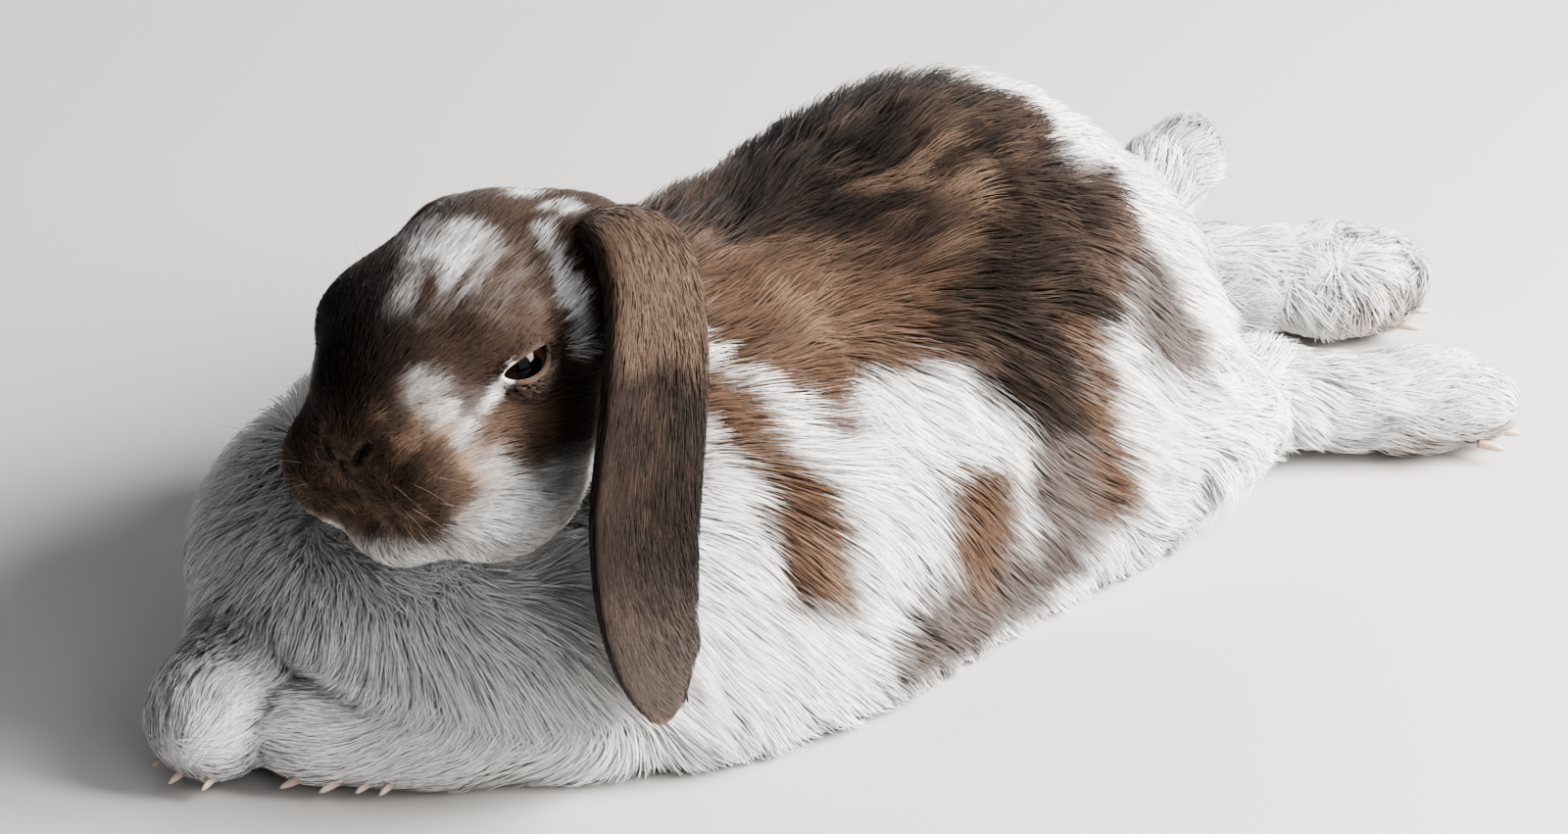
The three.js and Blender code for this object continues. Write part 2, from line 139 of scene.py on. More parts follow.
BODY = Coat(11, 23, 0.36, 180, (0, 1, 0), droop=1.35, clump=0.4, ruffle=0.55)
CHEST = Coat(10, 15, 0.34, 200, (0, -0.25, -1), droop=0.2, clump=0.2, ruffle=0.3)
FRINGE = Coat(9, 22, 0.46, 150, (0, 0.6, -0.6), droop=0.6, clump=0.7, ruffle=0.4)
NECK = Coat(9, 18, 0.42, 160, (0, 1, 0), droop=0.8, clump=0.4, ruffle=0.3)
HAUNCH = Coat(10, 24, 0.38, 175, (0, 1, -0.1), droop=0.9, clump=0.6, ruffle=1.0)
TAIL = Coat(9, 20, 0.42, 220, (-0.4, 0.9, 0.3), clump=0.45, ruffle=0.8)
SKULL = head_coat(2.4, 7, 0.33, 290, (0, 1, 0), clump=0.3)
FACE = head_coat(1.6, 5, 0.29, 355, (0, 1, 0.1), clump=0.2)
NOSE = head_coat(0.8, 2.6, 0.24, 400, (0, 1, 0.2), clump=0.1)
CHEEK = head_coat(2.8, 10, 0.33, 285, (0, 1, -0.45), clump=0.3, ruffle=0.2)
CHIN = head_coat(2.8, 11, 0.33, 285, (0, 0.8, -0.7), clump=0.3, ruffle=0.3)
FORELEG = Coat(6, 14, 0.38, 220, (-0.1, -1, -0.2), clump=0.4, ruffle=0.4)
PAW_LEFT = Coat(3.5, 13, 0.32, 290, (-0.5, -0.85, -0.1), clump=0.4, ruffle=0.35)
PAW_RIGHT = Coat(3.5, 13, 0.32, 290, (0.35, -0.9, -0.2), clump=0.4, ruffle=0.35)
FOOT_LEFT = Coat(7, 20, 0.38, 230, (0.5, 0.85, -0.1), clump=0.6, ruffle=1.0)
FOOT_RIGHT = Coat(7, 20, 0.38, 230, (0.35, 0.9, -0.1), clump=0.6, ruffle=1.0)


def ball(at, radii, blend, coat, turned=None):
    """An ellipsoid: its distance function, how widely it blends, and its coat."""
    centre = np.array(at, float)
    radii = np.array(radii, float)

    def distance(points):
        local = points - centre
        if turned is not None:
            local = local @ turned
        local = local / radii
        reach = size(local) + 1e-9
        return reach * (reach - 1) / (size(local / radii) + 1e-9)

    return distance, blend, coat


def limb(start, start_radius, end, end_radius, blend, coat):
    """A tapered limb with round ends."""
    start = np.array(start, float)
    along = np.array(end, float) - start

    def distance(points):
        local = points - start
        share = np.clip(local @ along / (along @ along), 0, 1)
        radius = start_radius + (end_radius - start_radius) * share
        return size(local - share[..., None] * along) - radius

    return distance, blend, coat


def head_ball(at, radii, blend, coat, **angles):
    return ball(on_head(*at), radii, blend, coat, HEAD_TURN @ turn(**angles))


MASSES = [
    ball((0, -124, 36), (81, 80, 65), 30, BODY),  # chest
    ball((-16, -160, 34), (62, 60, 39), 24, CHEST),  # dewlap
    ball((2, -64, 38), (81, 92, 75), 30, BODY),  # ribs
    ball((-2, 8, 50), (74, 72, 82), 34, BODY),  # loin
    ball((-10, 52, 48), (57, 53, 46), 24, HAUNCH),  # pelvis
    ball((5, -84, 12), (83, 98, 26), 30, FRINGE),  # fur spread on the floor
    ball((2, 12, 14), (68, 74, 24), 30, FRINGE),
    limb((6, -118, 70), 50, on_head(0, 30, -12), 33, 20, NECK),
    head_ball((0, 25, -4), (31, 38, 34), 14, SKULL),
    head_ball((0, -2, -4), (28, 31, 25.5), 14, FACE),
    head_ball((0, -20, -10), (17.5, 20.5, 20.5), 10, FACE, nod=24),  # bridge of the nose
    head_ball((0, -31, -15), (9, 8.5, 9), 8, NOSE),
    head_ball((0, -17, -39), (17, 18, 15), 8, CHIN),
]
for side in (1, -1):
    MASSES += [
        head_ball((14 * side, -26, -24), (14, 14, 16.5), 7, FACE, tilt=-16 * side),  # lip
        head_ball((20 * side, 6, -26), (16, 26, 23.5), 12, CHEEK),
        head_ball((20 * side, -4, -35), (18, 24, 18), 8, CHEEK),  # jowl
        head_ball((20 * side, 1, 7), (9.5, 14, 8), 10, FACE),  # brow
        head_ball((16 * side, 44, 10 + 4 * side), (15, 14, 12), 10, SKULL),  # root of the ear
    ]
MASSES.append(limb(on_head(22, 40, 8), 13, on_head(39, 33, 0), 11, 8, SKULL))  # folds under the arch
MASSES.append(limb(on_head(-20, 46, 0), 11, on_head(-36, 53, -10), 9, 8, SKULL))
MASSES.append(limb(on_head(19, 28, 17), 9, on_head(32, 16, 1), 7.5, 8, SKULL))  # fold at the temple
MASSES.append(limb(on_head(28, 32, 13), 12, on_head(42, 25, 2), 10, 8, SKULL))
MASSES += [
    ball((44, 40, 30), (36, 52, 34), 22, HAUNCH, turn(yaw=-8)),  # left thigh
    limb((40, 72, 22), 24, (38, 100, 19), 19, 14, HAUNCH),
    ball((-46, 44, 32), (33, 54, 33), 22, HAUNCH, turn(yaw=10)),  # right thigh
    limb((-40, 78, 27), 26, (-34, 112, 23), 22, 14, HAUNCH),
    limb((38, 100, 18), 18, (60, 134, 16), 17, 8, FOOT_LEFT),
    ball((65, 145, 15), (20, 25, 16), 10, FOOT_LEFT, turn(yaw=-40)),
    limb((-32, 118, 21), 21, (-8, 158, 19), 19, 8, FOOT_RIGHT),
    ball((-2, 171, 18), (23, 27, 19), 10, FOOT_RIGHT, turn(yaw=-24)),
    limb((50, -150, 22), 22, (36, -184, 16), 16.5, 12, FORELEG),
    limb((36, -184, 16), 16.5, (19, -210, 14.5), 15, 8, PAW_LEFT),
    limb((-30, -168, 26), 20, (-12, -208, 20), 18, 12, FORELEG),
    limb((-10, -208, 19), 19, (1, -230, 18), 18.5, 8, PAW_RIGHT),
    limb((-20, 92, 54), 18, (-36, 128, 58), 17.5, 8, TAIL),
]


def join(depth, other, blend):
    """The smooth union of two distances."""
    overlap = np.maximum(blend - np.abs(depth - other), 0)
    return np.minimum(depth, other) - overlap ** 2 / (4 * blend)


def carve(depth, other, blend):
    """A distance with another shape smoothly taken away."""
    return -join(-depth, other, blend)


def joined(points, head, depths):
    """The smooth union of the head's masses, or of the body's.

    depths is the share of their coats that is left out.
    """
    depth = np.full(points.shape[:-1], 1e3)
    for distance, blend, coat in MASSES:
        if coat.head == head:
            depth = join(depth, distance(points) + depths * coat.depth, blend)
    return depth


def to_tips(points):
    """Signed distance to the tips of the coat, negative inside."""
    return join(joined(points, 0, 0), joined(points, 1, 0), 14)


def eye_axes(side):
    """Outwards, backwards and up at an eye."""
    out = unit(along_head(0.9 * side, -0.36, 0.12))
    back = unit(along_head(0.25 * side, 0.95, 0.16))
    back = unit(back - out * (back @ out))
    return out, back, np.cross(out, back) * side


def head_carvings():
    """What is cut into the head: the eyes' openings, the nostrils, the lip's cleft and the mouth."""
    cuts = []
    for side in (1, -1):
        out, back, up = eye_axes(side)
        opening = np.stack([out, back, up], 1)
        middle = EYES[side] + opening @ EYE_OPENING
        cuts.append((ball(middle, (7, *EYE_OPENING_RADII), 0, FACE, opening)[0], 0.8))
        cuts.append((ball(EYES[side], (8.7, 8.7, 8.7), 0, FACE)[0], 0.5))
        nostril = HEAD_TURN @ turn(yaw=24 * side, tilt=38 * side)
        cuts.append((ball(on_head(5.2 * side, -38.5, -12.5), (1.1, 3.5, 3.6), 0, NOSE, nostril)[0], 1.6))
        lip = limb(on_head(0, -39.5, -28), 1.3, on_head(15 * side, -36, -37), 1.0, 0, FACE)
        cuts.append((lip[0], 2.2))
        jaw = limb(on_head(15 * side, -36, -37), 1.0, on_head(21 * side, -27, -43), 0.5, 0, FACE)
        cuts.append((jaw[0], 2.2))
    cuts.append((limb(on_head(0, -41, -17), 0.9, on_head(0, -40.5, -28), 1.2, 0, NOSE)[0], 2.4))
    return cuts


CARVINGS = head_carvings()


def to_skin(points):
    """Signed distance to the skin, which lies inside the tips by each mass's coat.

    The body's skin lies deeper close to the head, so that jaw and cheeks stand clear of it.
    """
    head = joined(points, 1, 1)
    recess = 5 * (1 - ramp(head, 0, 22))
    depth = join(joined(points, 0, 1) + recess, head, 6)
    for side in (1, -1):
        lids = size(points - EYES[side]) - LID_RADIUS
        depth = join(depth, lids, 3)
    for distance, blend in CARVINGS:
        depth = carve(depth, distance(points), blend)
    return np.maximum(depth, 1.0 - points[..., 2])


def slope(field, points, step=0.3):
    """A field's value and gradient."""
    here = field(points)
    parts = [(field(points + step * np.eye(3)[axis]) - here) / step for axis in range(3)]
    return here, np.stack(parts, -1)


def coat_at(points):
    """The blended coat at each place."""
    total = np.zeros(len(points))
    sums = np.zeros((len(points), 11))
    for distance, _, coat in MASSES:
        weight = np.exp(-np.clip(distance(points) + coat.depth, -4, 60) / 3.5)
        total += weight
        sums += weight[:, None] * coat.numbers()
    sums /= total[:, None]
    names = ["depth", "length", "width", "density", "droop", "clump", "ruffle", "head"]
    found = {name: sums[:, place] for place, name in enumerate(names)}
    found["lie"] = sums[:, len(names):]
    return found


# ---- Meshes ----

def new_mesh(name, points, faces, smooth=True):
    """A mesh object from places in millimetres and faces of equal count."""
    faces = np.asarray(faces, np.int32)
    mesh = bpy.data.meshes.new(name)
    mesh.vertices.add(len(points))
    mesh.vertices.foreach_set("co", (points * MM + ORIGIN).astype(np.float32).ravel())
    mesh.loops.add(faces.size)
    mesh.loops.foreach_set("vertex_index", faces.ravel())
    mesh.polygons.add(len(faces))
    mesh.polygons.foreach_set("loop_start", np.arange(len(faces), dtype=np.int32) * faces.shape[1])
    mesh.update(calc_edges=True)
    mesh.polygons.foreach_set("use_smooth", np.full(len(faces), smooth))
    piece = bpy.data.objects.new(name, mesh)
    bpy.context.scene.collection.objects.link(piece)
    return piece


def set_colours(piece, colours, name="coat"):
    rgba = np.ones((len(colours), 4), np.float32)
    rgba[:, :3] = colours
    attribute = piece.data.attributes.new(name, "FLOAT_COLOR", "POINT")
    attribute.data.foreach_set("color", rgba.ravel())


def graded(low, high, fine_low, fine_high, fine, coarse):
    """Steps along an axis, fine in one stretch and coarse outside it."""
    steps = [low]
    while steps[-1] < high:
        inside = fine_low - coarse < steps[-1] < fine_high
        steps.append(steps[-1] + (fine if inside else coarse))
    return np.array(steps)


def surface_net(field, axes):
    """The zero surface of a field on a box of cells: one vertex in each cell that it crosses."""
    grid = np.stack(np.meshgrid(*axes, indexing="ij"), -1)
    values = np.stack([field(layer) for layer in grid])
    for axis in range(3):
        edge = [slice(None)] * 3
        for end in (0, -1):
            edge[axis] = end
            values[tuple(edge)] = 5.0
    shape = np.array(values.shape)
    cells = tuple(shape - 1)
    sums = np.zeros(cells + (3,))
    counts = np.zeros(cells)
    crossings = []
    for axis in range(3):
        here = np.take(values, range(shape[axis] - 1), axis)
        there = np.take(values, range(1, shape[axis]), axis)
        crosses = (here < 0) != (there < 0)
        share = np.where(crosses, here / np.where(crosses, here - there, 1), 0)
        crossings.append((crosses, here < 0))
        one, two = [other for other in range(3) if other != axis]
        for a in (0, 1):
            for b in (0, 1):
                part = [slice(None)] * 3
                part[one] = slice(a, a + cells[one])
                part[two] = slice(b, b + cells[two])
                mask = crosses[tuple(part)]
                counts += mask
                sums[..., axis] += np.where(mask, share[tuple(part)], 0)
                sums[..., one] += mask * a
                sums[..., two] += mask * b
    used = counts > 0
    index = np.full(cells, -1)
    index[used] = np.arange(used.sum())
    places = sums[used] / counts[used][:, None] + np.argwhere(used)
    points = np.stack([np.interp(places[:, k], np.arange(shape[k]), axes[k]) for k in range(3)], 1)
    quads = []
    for axis, (crosses, inside) in enumerate(crossings):
        one, two = (axis + 1) % 3, (axis + 2) % 3
        at = np.argwhere(crosses)
        at = at[(at[:, one] > 0) & (at[:, two] > 0) & (at[:, one] < cells[one]) & (at[:, two] < cells[two])]
        back_one, back_two = np.eye(3, dtype=int)[one], np.eye(3, dtype=int)[two]
        corners = [at - back_one - back_two, at - back_two, at, at - back_one]
        quad = np.stack([index[tuple(corner.T)] for corner in corners], 1)
        outward = inside[tuple(at.T)]
        quads.append(np.where(outward[:, None], quad, quad[:, ::-1]))
    return points, np.concatenate(quads)


def settle(field, points, rounds=3):
    """Moves points onto a field's zero surface."""
    for _ in range(rounds):
        value, gradient = slope(field, points)
        step = value / np.maximum((gradient ** 2).sum(-1), 0.2)
        points = points - np.clip(step, -1.5, 1.5)[:, None] * gradient
    return points


# ---- Patterns ----

def noise(points, scale, seed=0):
    """Smooth noise from -1 to 1, with features about scale millimetres across."""
    p = points / scale + seed * 17.31
    cell = np.floor(p).astype(np.int64)
    part = p - cell
    part = part * part * (3 - 2 * part)
    total = np.zeros(len(points))
    for corner in range(8):
        offset = np.array([corner & 1, (corner >> 1) & 1, corner >> 2])
        i, j, k = (cell + offset).T
        mix = (i * 73856093) ^ (j * 19349663) ^ (k * 83492791) ^ (seed * 2654435)
        mix = (mix ^ (mix >> 13)) * 1274126177
        value = ((mix ^ (mix >> 16)) & 0xFFFF) / 32767.5 - 1
        total += value * np.prod(np.where(offset, part, 1 - part), 1)
    return total


WHITE = np.array([0.84, 0.83, 0.815])
CREAM = np.array([0.60, 0.50, 0.41])
FAWN = np.array([0.27, 0.18, 0.125])
ORANGE = np.array([0.125, 0.073, 0.045])
TAN = np.array([0.128, 0.085, 0.060])
BROWN = np.array([0.072, 0.045, 0.032])
DARK = np.array([0.028, 0.017, 0.012])
SOOTY = np.array([0.036, 0.024, 0.018])
GREY = np.array([0.22, 0.180, 0.160])


def ragged(points, amount):
    """Places shifted about a little, which makes the edges of patches uneven."""
    broad = np.stack([noise(points, 11, 70 + k) for k in range(3)], 1)
    fine = np.stack([noise(points, 4, 80 + k) for k in range(3)], 1)
    return points + amount * (broad + 0.5 * fine)


def patch(points, at, radii, edge=4.0):
    """How much a rounded patch covers each place, from 0 to 1."""
    return 1 - ramp(ball(at, radii, 0, None)[0](points), -edge / 2, edge / 2)


def band(points, path, radius, edge=4.0):
    """The same for a band along a path."""
    distance = np.full(len(points), 1e3)
    for start, end in zip(path[:-1], path[1:]):
        distance = np.minimum(distance, limb(start, radius, end, radius, 0, None)[0](points))
    return 1 - ramp(distance, -edge / 2, edge / 2)


def plain(colour, points):
    return np.tile(colour, (len(points), 1))


def paint(colours, cover, colour):
    return colours + (colour - colours) * cover[:, None]


def body_markings_and_shade(points):
    """White, with a dark saddle, brown shoulders and a broken harlequin pattern on the flanks, and painted
    shade under the left ear's arch and among the locks of rump and tail.
    """
    p = ragged(points, 4.5)
    wool = ramp(noise(points, 9, 31) + 0.8 * noise(points, 4, 32), -0.2, 1.0)
    dark = paint(plain(DARK, p), 0.6 * wool, TAN)
    russet = paint(plain(ORANGE, p), 0.6 * wool, FAWN)
    russet = paint(russet, 0.6 * ramp(noise(p, 12, 33) + 0.5 * noise(p, 5, 34), 0, 0.9), BROWN)
    flecked = paint(dark, 0.8 * ramp(noise(points, 6, 35) + noise(points, 13, 36), -0.3, 0.8), FAWN)
    c = paint(plain(WHITE, p), patch(p, (8, -34, 118), (80, 72, 44), 10), dark)  # saddle
    c = paint(c, patch(p, (12, -108, 112), (52, 42, 34), 10), russet)  # nape
    c = paint(c, 0.8 * patch(p, (56, -132, 88), (14, 20, 28), 10), DARK)  # painted shade under the left ear's arch
    c = paint(c, patch(p, (36, -66, 102), (38, 36, 22), 14), russet)  # left shoulder
    c = paint(c, patch(p, (52, -42, 99), (22, 26, 16), 12), russet)
    c = paint(c, band(p, [(50, -78, 99), (62, -70, 88), (72, -69, 76)], 8, 6), russet)
    c = paint(c, patch(p, (-48, -60, 96), (30, 34, 30), 12), russet)  # right shoulder
    c = paint(c, patch(p, (-4, -4, 130), (44, 50, 20), 16), dark)  # along the spine
    c = paint(c, patch(p, (20, -18, 122), (36, 34, 18), 16), flecked)
    c = paint(c, patch(p, (44, 22, 100), (26, 38, 18), 10), dark)
    c = paint(c, patch(p, (60, 12, 86), (16, 22, 16), 8), dark)
    c = paint(c, 0.6 * patch(p, (52, 38, 88), (18, 18, 14), 10), TAN)
    c = paint(c, band(p, [(60, -21, 93), (69, -11, 80), (75, -4, 66), (78, 0, 50)], 14, 8), dark)
    c = paint(c, band(p, [(79, -2, 42), (82, -6, 20), (86, -34, 14), (88, -60, 18)], 13, 10), GREY * 0.7)
    c = paint(c, band(p, [(52, -99, 97), (66, -92, 84), (75, -88, 70), (83, -88, 46)], 12, 8), russet)
    c = paint(c, patch(p, (82, -36, 40), (16, 15, 20), 8), russet)
    c = paint(c, patch(p, (71, -48, 73), (19, 20, 16), 6), WHITE)
    c = paint(c, band(p, [(34, -96, 108), (49, -90, 98), (65, -82, 85)], 4, 4), WHITE)
    c = paint(c, band(p, [(65, -82, 85), (76, -72, 67), (83, -66, 49), (87, -64, 36)], 8, 6), WHITE)
    c = paint(c, band(p, [(69, 13, 77), (74, 15, 60), (79, 13, 45), (81, 13, 27)], 7, 6), russet)
    c = paint(c, patch(p, (62, 48, 71), (20, 17, 19), 9), GREY * 0.65)
    c = paint(c, patch(p, (84, -106, 44), (14, 6, 14), 4), WHITE)
    c = paint(c, band(p, [(-52, -20, 100), (-66, -6, 84), (-76, 6, 60), (-78, 12, 40)], 14, 10), dark)
    c = paint(c, band(p, [(-44, -84, 102), (-66, -78, 80), (-80, -84, 48)], 13, 9), russet)
    c = paint(c, patch(p, (-82, -36, 40), (14, 24, 22), 8), russet)
    c = paint(c, 0.8 * band(p, [(-66, 30, 76), (-72, 38, 56), (-74, 40, 36)], 8, 8), GREY)
    ridge = [(-40, 22, 120), (-14, 35, 127), (10, 46, 121), (30, 61, 106), (42, 77, 86)]
    c = paint(c, band(p, ridge, 9, 6), WHITE)
    c = paint(c, patch(p, (-16, 74, 98), (60, 42, 40), 6), WHITE)  # rump
    lock_shade = ramp(noise(p, 10, 37) + 0.6 * noise(p, 4, 38), -0.1, 1.0)
    c = paint(c, 0.3 * lock_shade * patch(p, (-10, 96, 66), (74, 74, 62), 16), GREY)  # painted shade between the rump's woolly locks
    c = paint(c, 0.4 * lock_shade * patch(p, (-30, 112, 66), (26, 30, 22), 12), GREY)  # painted shade between the tail's locks
    for sole in ((66, 150, 8), (-2, 176, 10)):
        c = paint(c, 0.6 * patch(p, sole, (26, 26, 9), 8), FAWN)
    return c


def head_markings_and_shade(points):
    """A brown head with a dark bridge to its nose, a white blaze, temples and jaw, and painted shade behind
    the cheeks.
    """
    head = in_head(points)
    q = ragged(head, 2.2)
    mottle = ramp(noise(q, 7, 31) + 0.6 * noise(q, 3, 32), -0.2, 0.8)
    ticks = ramp(noise(q, 5, 44) + 0.8 * noise(q, 2.2, 45), -0.2, 0.9)
    streaks = ramp(noise(head * (1, 0.2, 0.5), 2.2, 58) + 0.5 * noise(q, 6, 47), -0.7, 0.5)
    c = plain(BROWN, q)
    c = paint(c, 0.6 * mottle * patch(q, (12, 12, 14), (40, 26, 24), 16), TAN)
    c = paint(c, 0.5 * streaks * patch(q, (16, 6, 18), (15, 12, 12), 12), GREY)
    c = paint(c, 0.8 * patch(q, (0, -24, 8), (17, 16, 16), 10), DARK)  # bridge of the nose
    c = paint(c, 0.35 * patch(q, (0, -36, -8), (30, 16, 12), 8), DARK)  # muzzle
    c = paint(c, (0.15 + 0.7 * ticks) * patch(q, (8, -30, -24), (36, 26, 26), 12), FAWN)
    c = paint(c, 0.7 * patch(q, (-16, -14, 12), (20, 16, 13), 8), DARK)  # brows
    c = paint(c, 0.6 * ticks * patch(q, (10, -8, 17), (12, 8, 10), 8), DARK)
    c = paint(c, (0.3 + 0.42 * streaks) * patch(q, (-1, 8, 26), (14, 11, 10), 10), WHITE)  # blaze
    c = paint(c, 0.5 * streaks * patch(q, (6, -5, 21), (11, 14, 10), 9), WHITE)
    c = paint(c, 0.9 * patch(q, (-8, 27, 30), (22, 12, 10), 5), BROWN)  # crown
    c = paint(c, 0.85 * streaks * band(q, [(0, 38, 29), (12, 39, 28), (21, 37, 26)], 4, 4), WHITE)  # poll
    for side in (1, -1):
        s = np.array([side, 1, 1])
        temple = [s * (21, 26, 25), s * (31, 19, 14), s * (38, 14, 1)]
        c = paint(c, 0.95 * band(q, temple, 3.6, 4), WHITE)
        c = paint(c, (0.6 + 0.4 * streaks) * patch(q, s * (32, -4, -50), (28, 36, 24), 12), WHITE)  # jaw
        cheek = [s * (18.5, -26, 1), s * (25, -19, -6), s * (31, -15, -20), s * (36, -8, -34)]
        c = paint(c, (0.15 + 0.5 * streaks) * band(q, cheek, 4.4, 8), WHITE)
        c = paint(c, (0.35 + 0.6 * mottle) * patch(q, s * (33, -4, -12), (14, 13, 13), 8), TAN * 1.5)
        c = paint(c, 0.5 * patch(q, s * (42, 30, -20), (11, 12, 20), 8), DARK)  # painted shade behind the cheek, under the ear
        tear = [s * (27.6, -13.7, -5.7), s * (29, -9.9, -0.9), s * (30.4, -7.3, 2.4)]
        c = paint(c, band(head, tear, 1.7, 1.2), WHITE)
    c = paint(c, (0.5 + 0.5 * streaks) * patch(q, (0, -16, -53), (26, 26, 15), 7), WHITE)  # chin
    lips = [(-24, -30, -46), (-15, -38, -38), (0, -40, -31), (15, -38, -38), (24, -30, -46)]
    c = paint(c, 0.7 * band(q, lips, 1.5, 2.5), CREAM)
    c = paint(c, 0.8 * patch(head, (0, -39, -13), (7.5, 4, 6.5), 3), TAN)  # nose
    mouth = [(-21, -27, -43), (-15, -36, -37), (0, -39.5, -28), (15, -36, -37), (21, -27, -43)]
    creases = [mouth, [(0, -41, -17), (0, -40.5, -28)]]
    creases += [[(3.6 * side, -40, -15), (6.4 * side, -37.5, -10)] for side in (1, -1)]
    for crease in creases:
        c = paint(c, 0.9 * band(head, crease, 1.1, 1.4), DARK * 0.5)
    return c


def markings_and_shade(points, head):
    """The coat's colours, painted shade included. head is how much of each place is head."""
    share = ramp(head, 0.35, 0.65)[:, None]
    return body_markings_and_shade(points) * (1 - share) + head_markings_and_shade(points) * share


# ---- Ears ----
# Each row is a place on the ear's middle line in the head's axes, then the half width as a share
# of the widest, the half thickness, and how far the rims curl in.

EAR_ROWS = {
    1: np.array([
        [20, 42, 8, 0.6, 9, 0],
        [31, 41, 18, 0.84, 9, 0],
        [41, 35, 15, 0.92, 8, 2],
        [47, 27, 3, 0.96, 7, 4],
        [51.5, 16, -13, 1.04, 6, 5],
        [56, 0, -40, 1.1, 4.5, 6],
        [60.5, -5, -63, 1, 4, 5],
        [64.5, -2, -80, 0.75, 3.5, 3],
        [66.5, 2, -88, 0.3, 2.5, 1],
    ]),
    -1: np.array([
        [-16, 46, 4, 0.6, 9, 0],
        [-27, 51, 8, 0.76, 8, 0],
        [-37, 54, 1, 0.81, 7, 2],
        [-44, 57, -9, 0.84, 6, 4],
        [-53, 61, -20, 0.89, 5.5, 5],
        [-69, 69, -31, 1, 4.5, 6],
        [-82, 78, -45, 0.95, 4, 5],
        [-89, 84, -65, 0.7, 3.5, 3],
        [-91, 88, -77, 0.27, 2.5, 1],
    ]),
}
EAR_COAT = 1.4
EAR_RINGS = 96
EAR_SIDES = 40
EAR_LENGTH = 135.0


def along_rows(rows, share):
    """A smooth curve through rows, at shares from 0 to 1 of its length."""
    padded = np.vstack([2 * rows[0] - rows[1], rows, 2 * rows[-1] - rows[-2]])
    place = np.clip(share, 0, 1) * (len(rows) - 1)
    first = np.minimum(place.astype(int), len(rows) - 2)
    t = (place - first)[:, None]
    a, b, c, d = (padded[first + k] for k in range(4))
    return b + 0.5 * t * (c - a + t * (2 * a - 5 * b + 4 * c - d + t * (3 * (b - c) + d - a)))


def ear_surface(side, share, angle, lift):
    """Places and outward directions on an ear, at a share of its length and an angle round it."""
    rows = EAR_ROWS[side]
    at = along_rows(rows, share)
    tangent = along_rows(rows, share + 0.01)[:, :3] - along_rows(rows, share - 0.01)[:, :3]
    tangent = unit(tangent @ HEAD_TURN.T)
    wide = along_head(0.12 * side, 0.93, -0.3)
    across = unit(wide - tangent * (tangent @ wide)[:, None])
    outward = np.cross(across, tangent) * side
    cos, sin = np.cos(angle)[:, None], np.sin(angle)[:, None]
    lift = np.asarray(lift).reshape(-1, 1)
    rounded = np.sqrt(1 - 0.96 * ramp(share, 0.92, 1) ** 2)[:, None]
    half_width = (at[:, 3:4] * EAR_HALF_WIDTH + lift) * rounded
    half_depth = (at[:, 4:5] + lift) * rounded
    centre = HEAD_PLACE + at[:, :3] @ HEAD_TURN.T + tangent * np.maximum(share - 1, 0)[:, None] * EAR_LENGTH
    place = centre + across * half_width * cos + outward * (half_depth * sin - at[:, 5:6] * cos ** 2)
    facing = unit(across * cos * half_depth + outward * (sin * half_width + at[:, 5:6] * sin * cos ** 2))
    return place, facing


def ear_skin(side):
    """Points and quads of an ear's skin, zipped shut at both ends."""
    ring, step = np.meshgrid(np.arange(EAR_RINGS), np.arange(EAR_SIDES), indexing="ij")
    share = ring.ravel() / (EAR_RINGS - 1)
    angle = step.ravel() * 2 * math.pi / EAR_SIDES
    lift = -EAR_COAT - 3.5 * (1 - ramp(share, 0, 0.1))
    points, _ = ear_surface(side, share, angle, lift)
    index = np.arange(EAR_RINGS * EAR_SIDES).reshape(EAR_RINGS, EAR_SIDES)
    after = np.roll(index, -1, 1)
    walls = np.stack([index[:-1], after[:-1], after[1:], index[1:]], -1).reshape(-1, 4)
    half = np.arange(EAR_SIDES // 2 - 1)
    cap = np.stack([half, half + 1, EAR_SIDES - 2 - half, EAR_SIDES - 1 - half], 1)
    quads = np.concatenate([walls, cap[:, ::-1], cap + index[-1, 0]])
    return points, quads if side < 0 else quads[:, ::-1]


def ear_markings_and_sheen(points, share, angle):
    """Tan over the arch at the top, sooty brown with a paler streak down the flap, and a painted sheen
    greying the flap's lower end.
    """
    c = plain(SOOTY, points)
    c = paint(c, 0.8 * ramp(noise(points, 8, 51) + 0.8 * noise(points, 3, 52), 0, 1.0), BROWN)
    cloud = ramp(noise(points, 6, 53) + 0.5 * noise(points, 2.5, 55), -0.8, 0.6)
    streak = ramp(np.sin(angle), 0.1, 0.8) * cloud
    c = paint(c, 0.6 * streak * ramp(share, 0.4, 0.75), GREY)
    rim = ramp(-np.cos(angle), 0.75, 0.95) * ramp(share, 0.75, 0.95)
    c = paint(c, 0.7 * rim, FAWN)
    # Painted sheen: the lower flap greyed and paler.
    c = paint(c, 0.3 * ramp(share, 0.6, 0.8), GREY)
    return paint(c, 1 - ramp(share + 0.04 * noise(points, 7, 54), 0.38, 0.46), TAN * 1.15)


# ---- Skin ----

def eyelid_rim(side):
    """A soft roll round the eye's opening: its points and quads."""
    out, back, up = eye_axes(side)
    angle = np.arange(64) * 2 * math.pi / 64
    along = EYE_OPENING[1] + EYE_OPENING_RADII[0] * np.cos(angle)
    across = EYE_OPENING[2] + EYE_OPENING_RADII[1] * np.sin(angle)
    reach = np.sqrt((LID_RADIUS - 0.5) ** 2 - along ** 2 - across ** 2)
    offset = reach[:, None] * out + along[:, None] * back + across[:, None] * up
    outwards = unit(offset)
    sideways = unit(np.cross(np.roll(offset, -1, 0) - np.roll(offset, 1, 0), outwards))
    ring = np.arange(10) * 2 * math.pi / 10
    tube = outwards[:, None] * np.cos(ring)[None, :, None] + sideways[:, None] * np.sin(ring)[None, :, None]
    points = EYES[side] + offset[:, None] + 0.75 * tube
    index = np.arange(640).reshape(64, 10)
    beside = np.roll(index, -1, 1)
    quads = np.stack([index, beside, np.roll(beside, -1, 0), np.roll(index, -1, 0)], -1).reshape(-1, 4)
    return points.reshape(-1, 3), quads


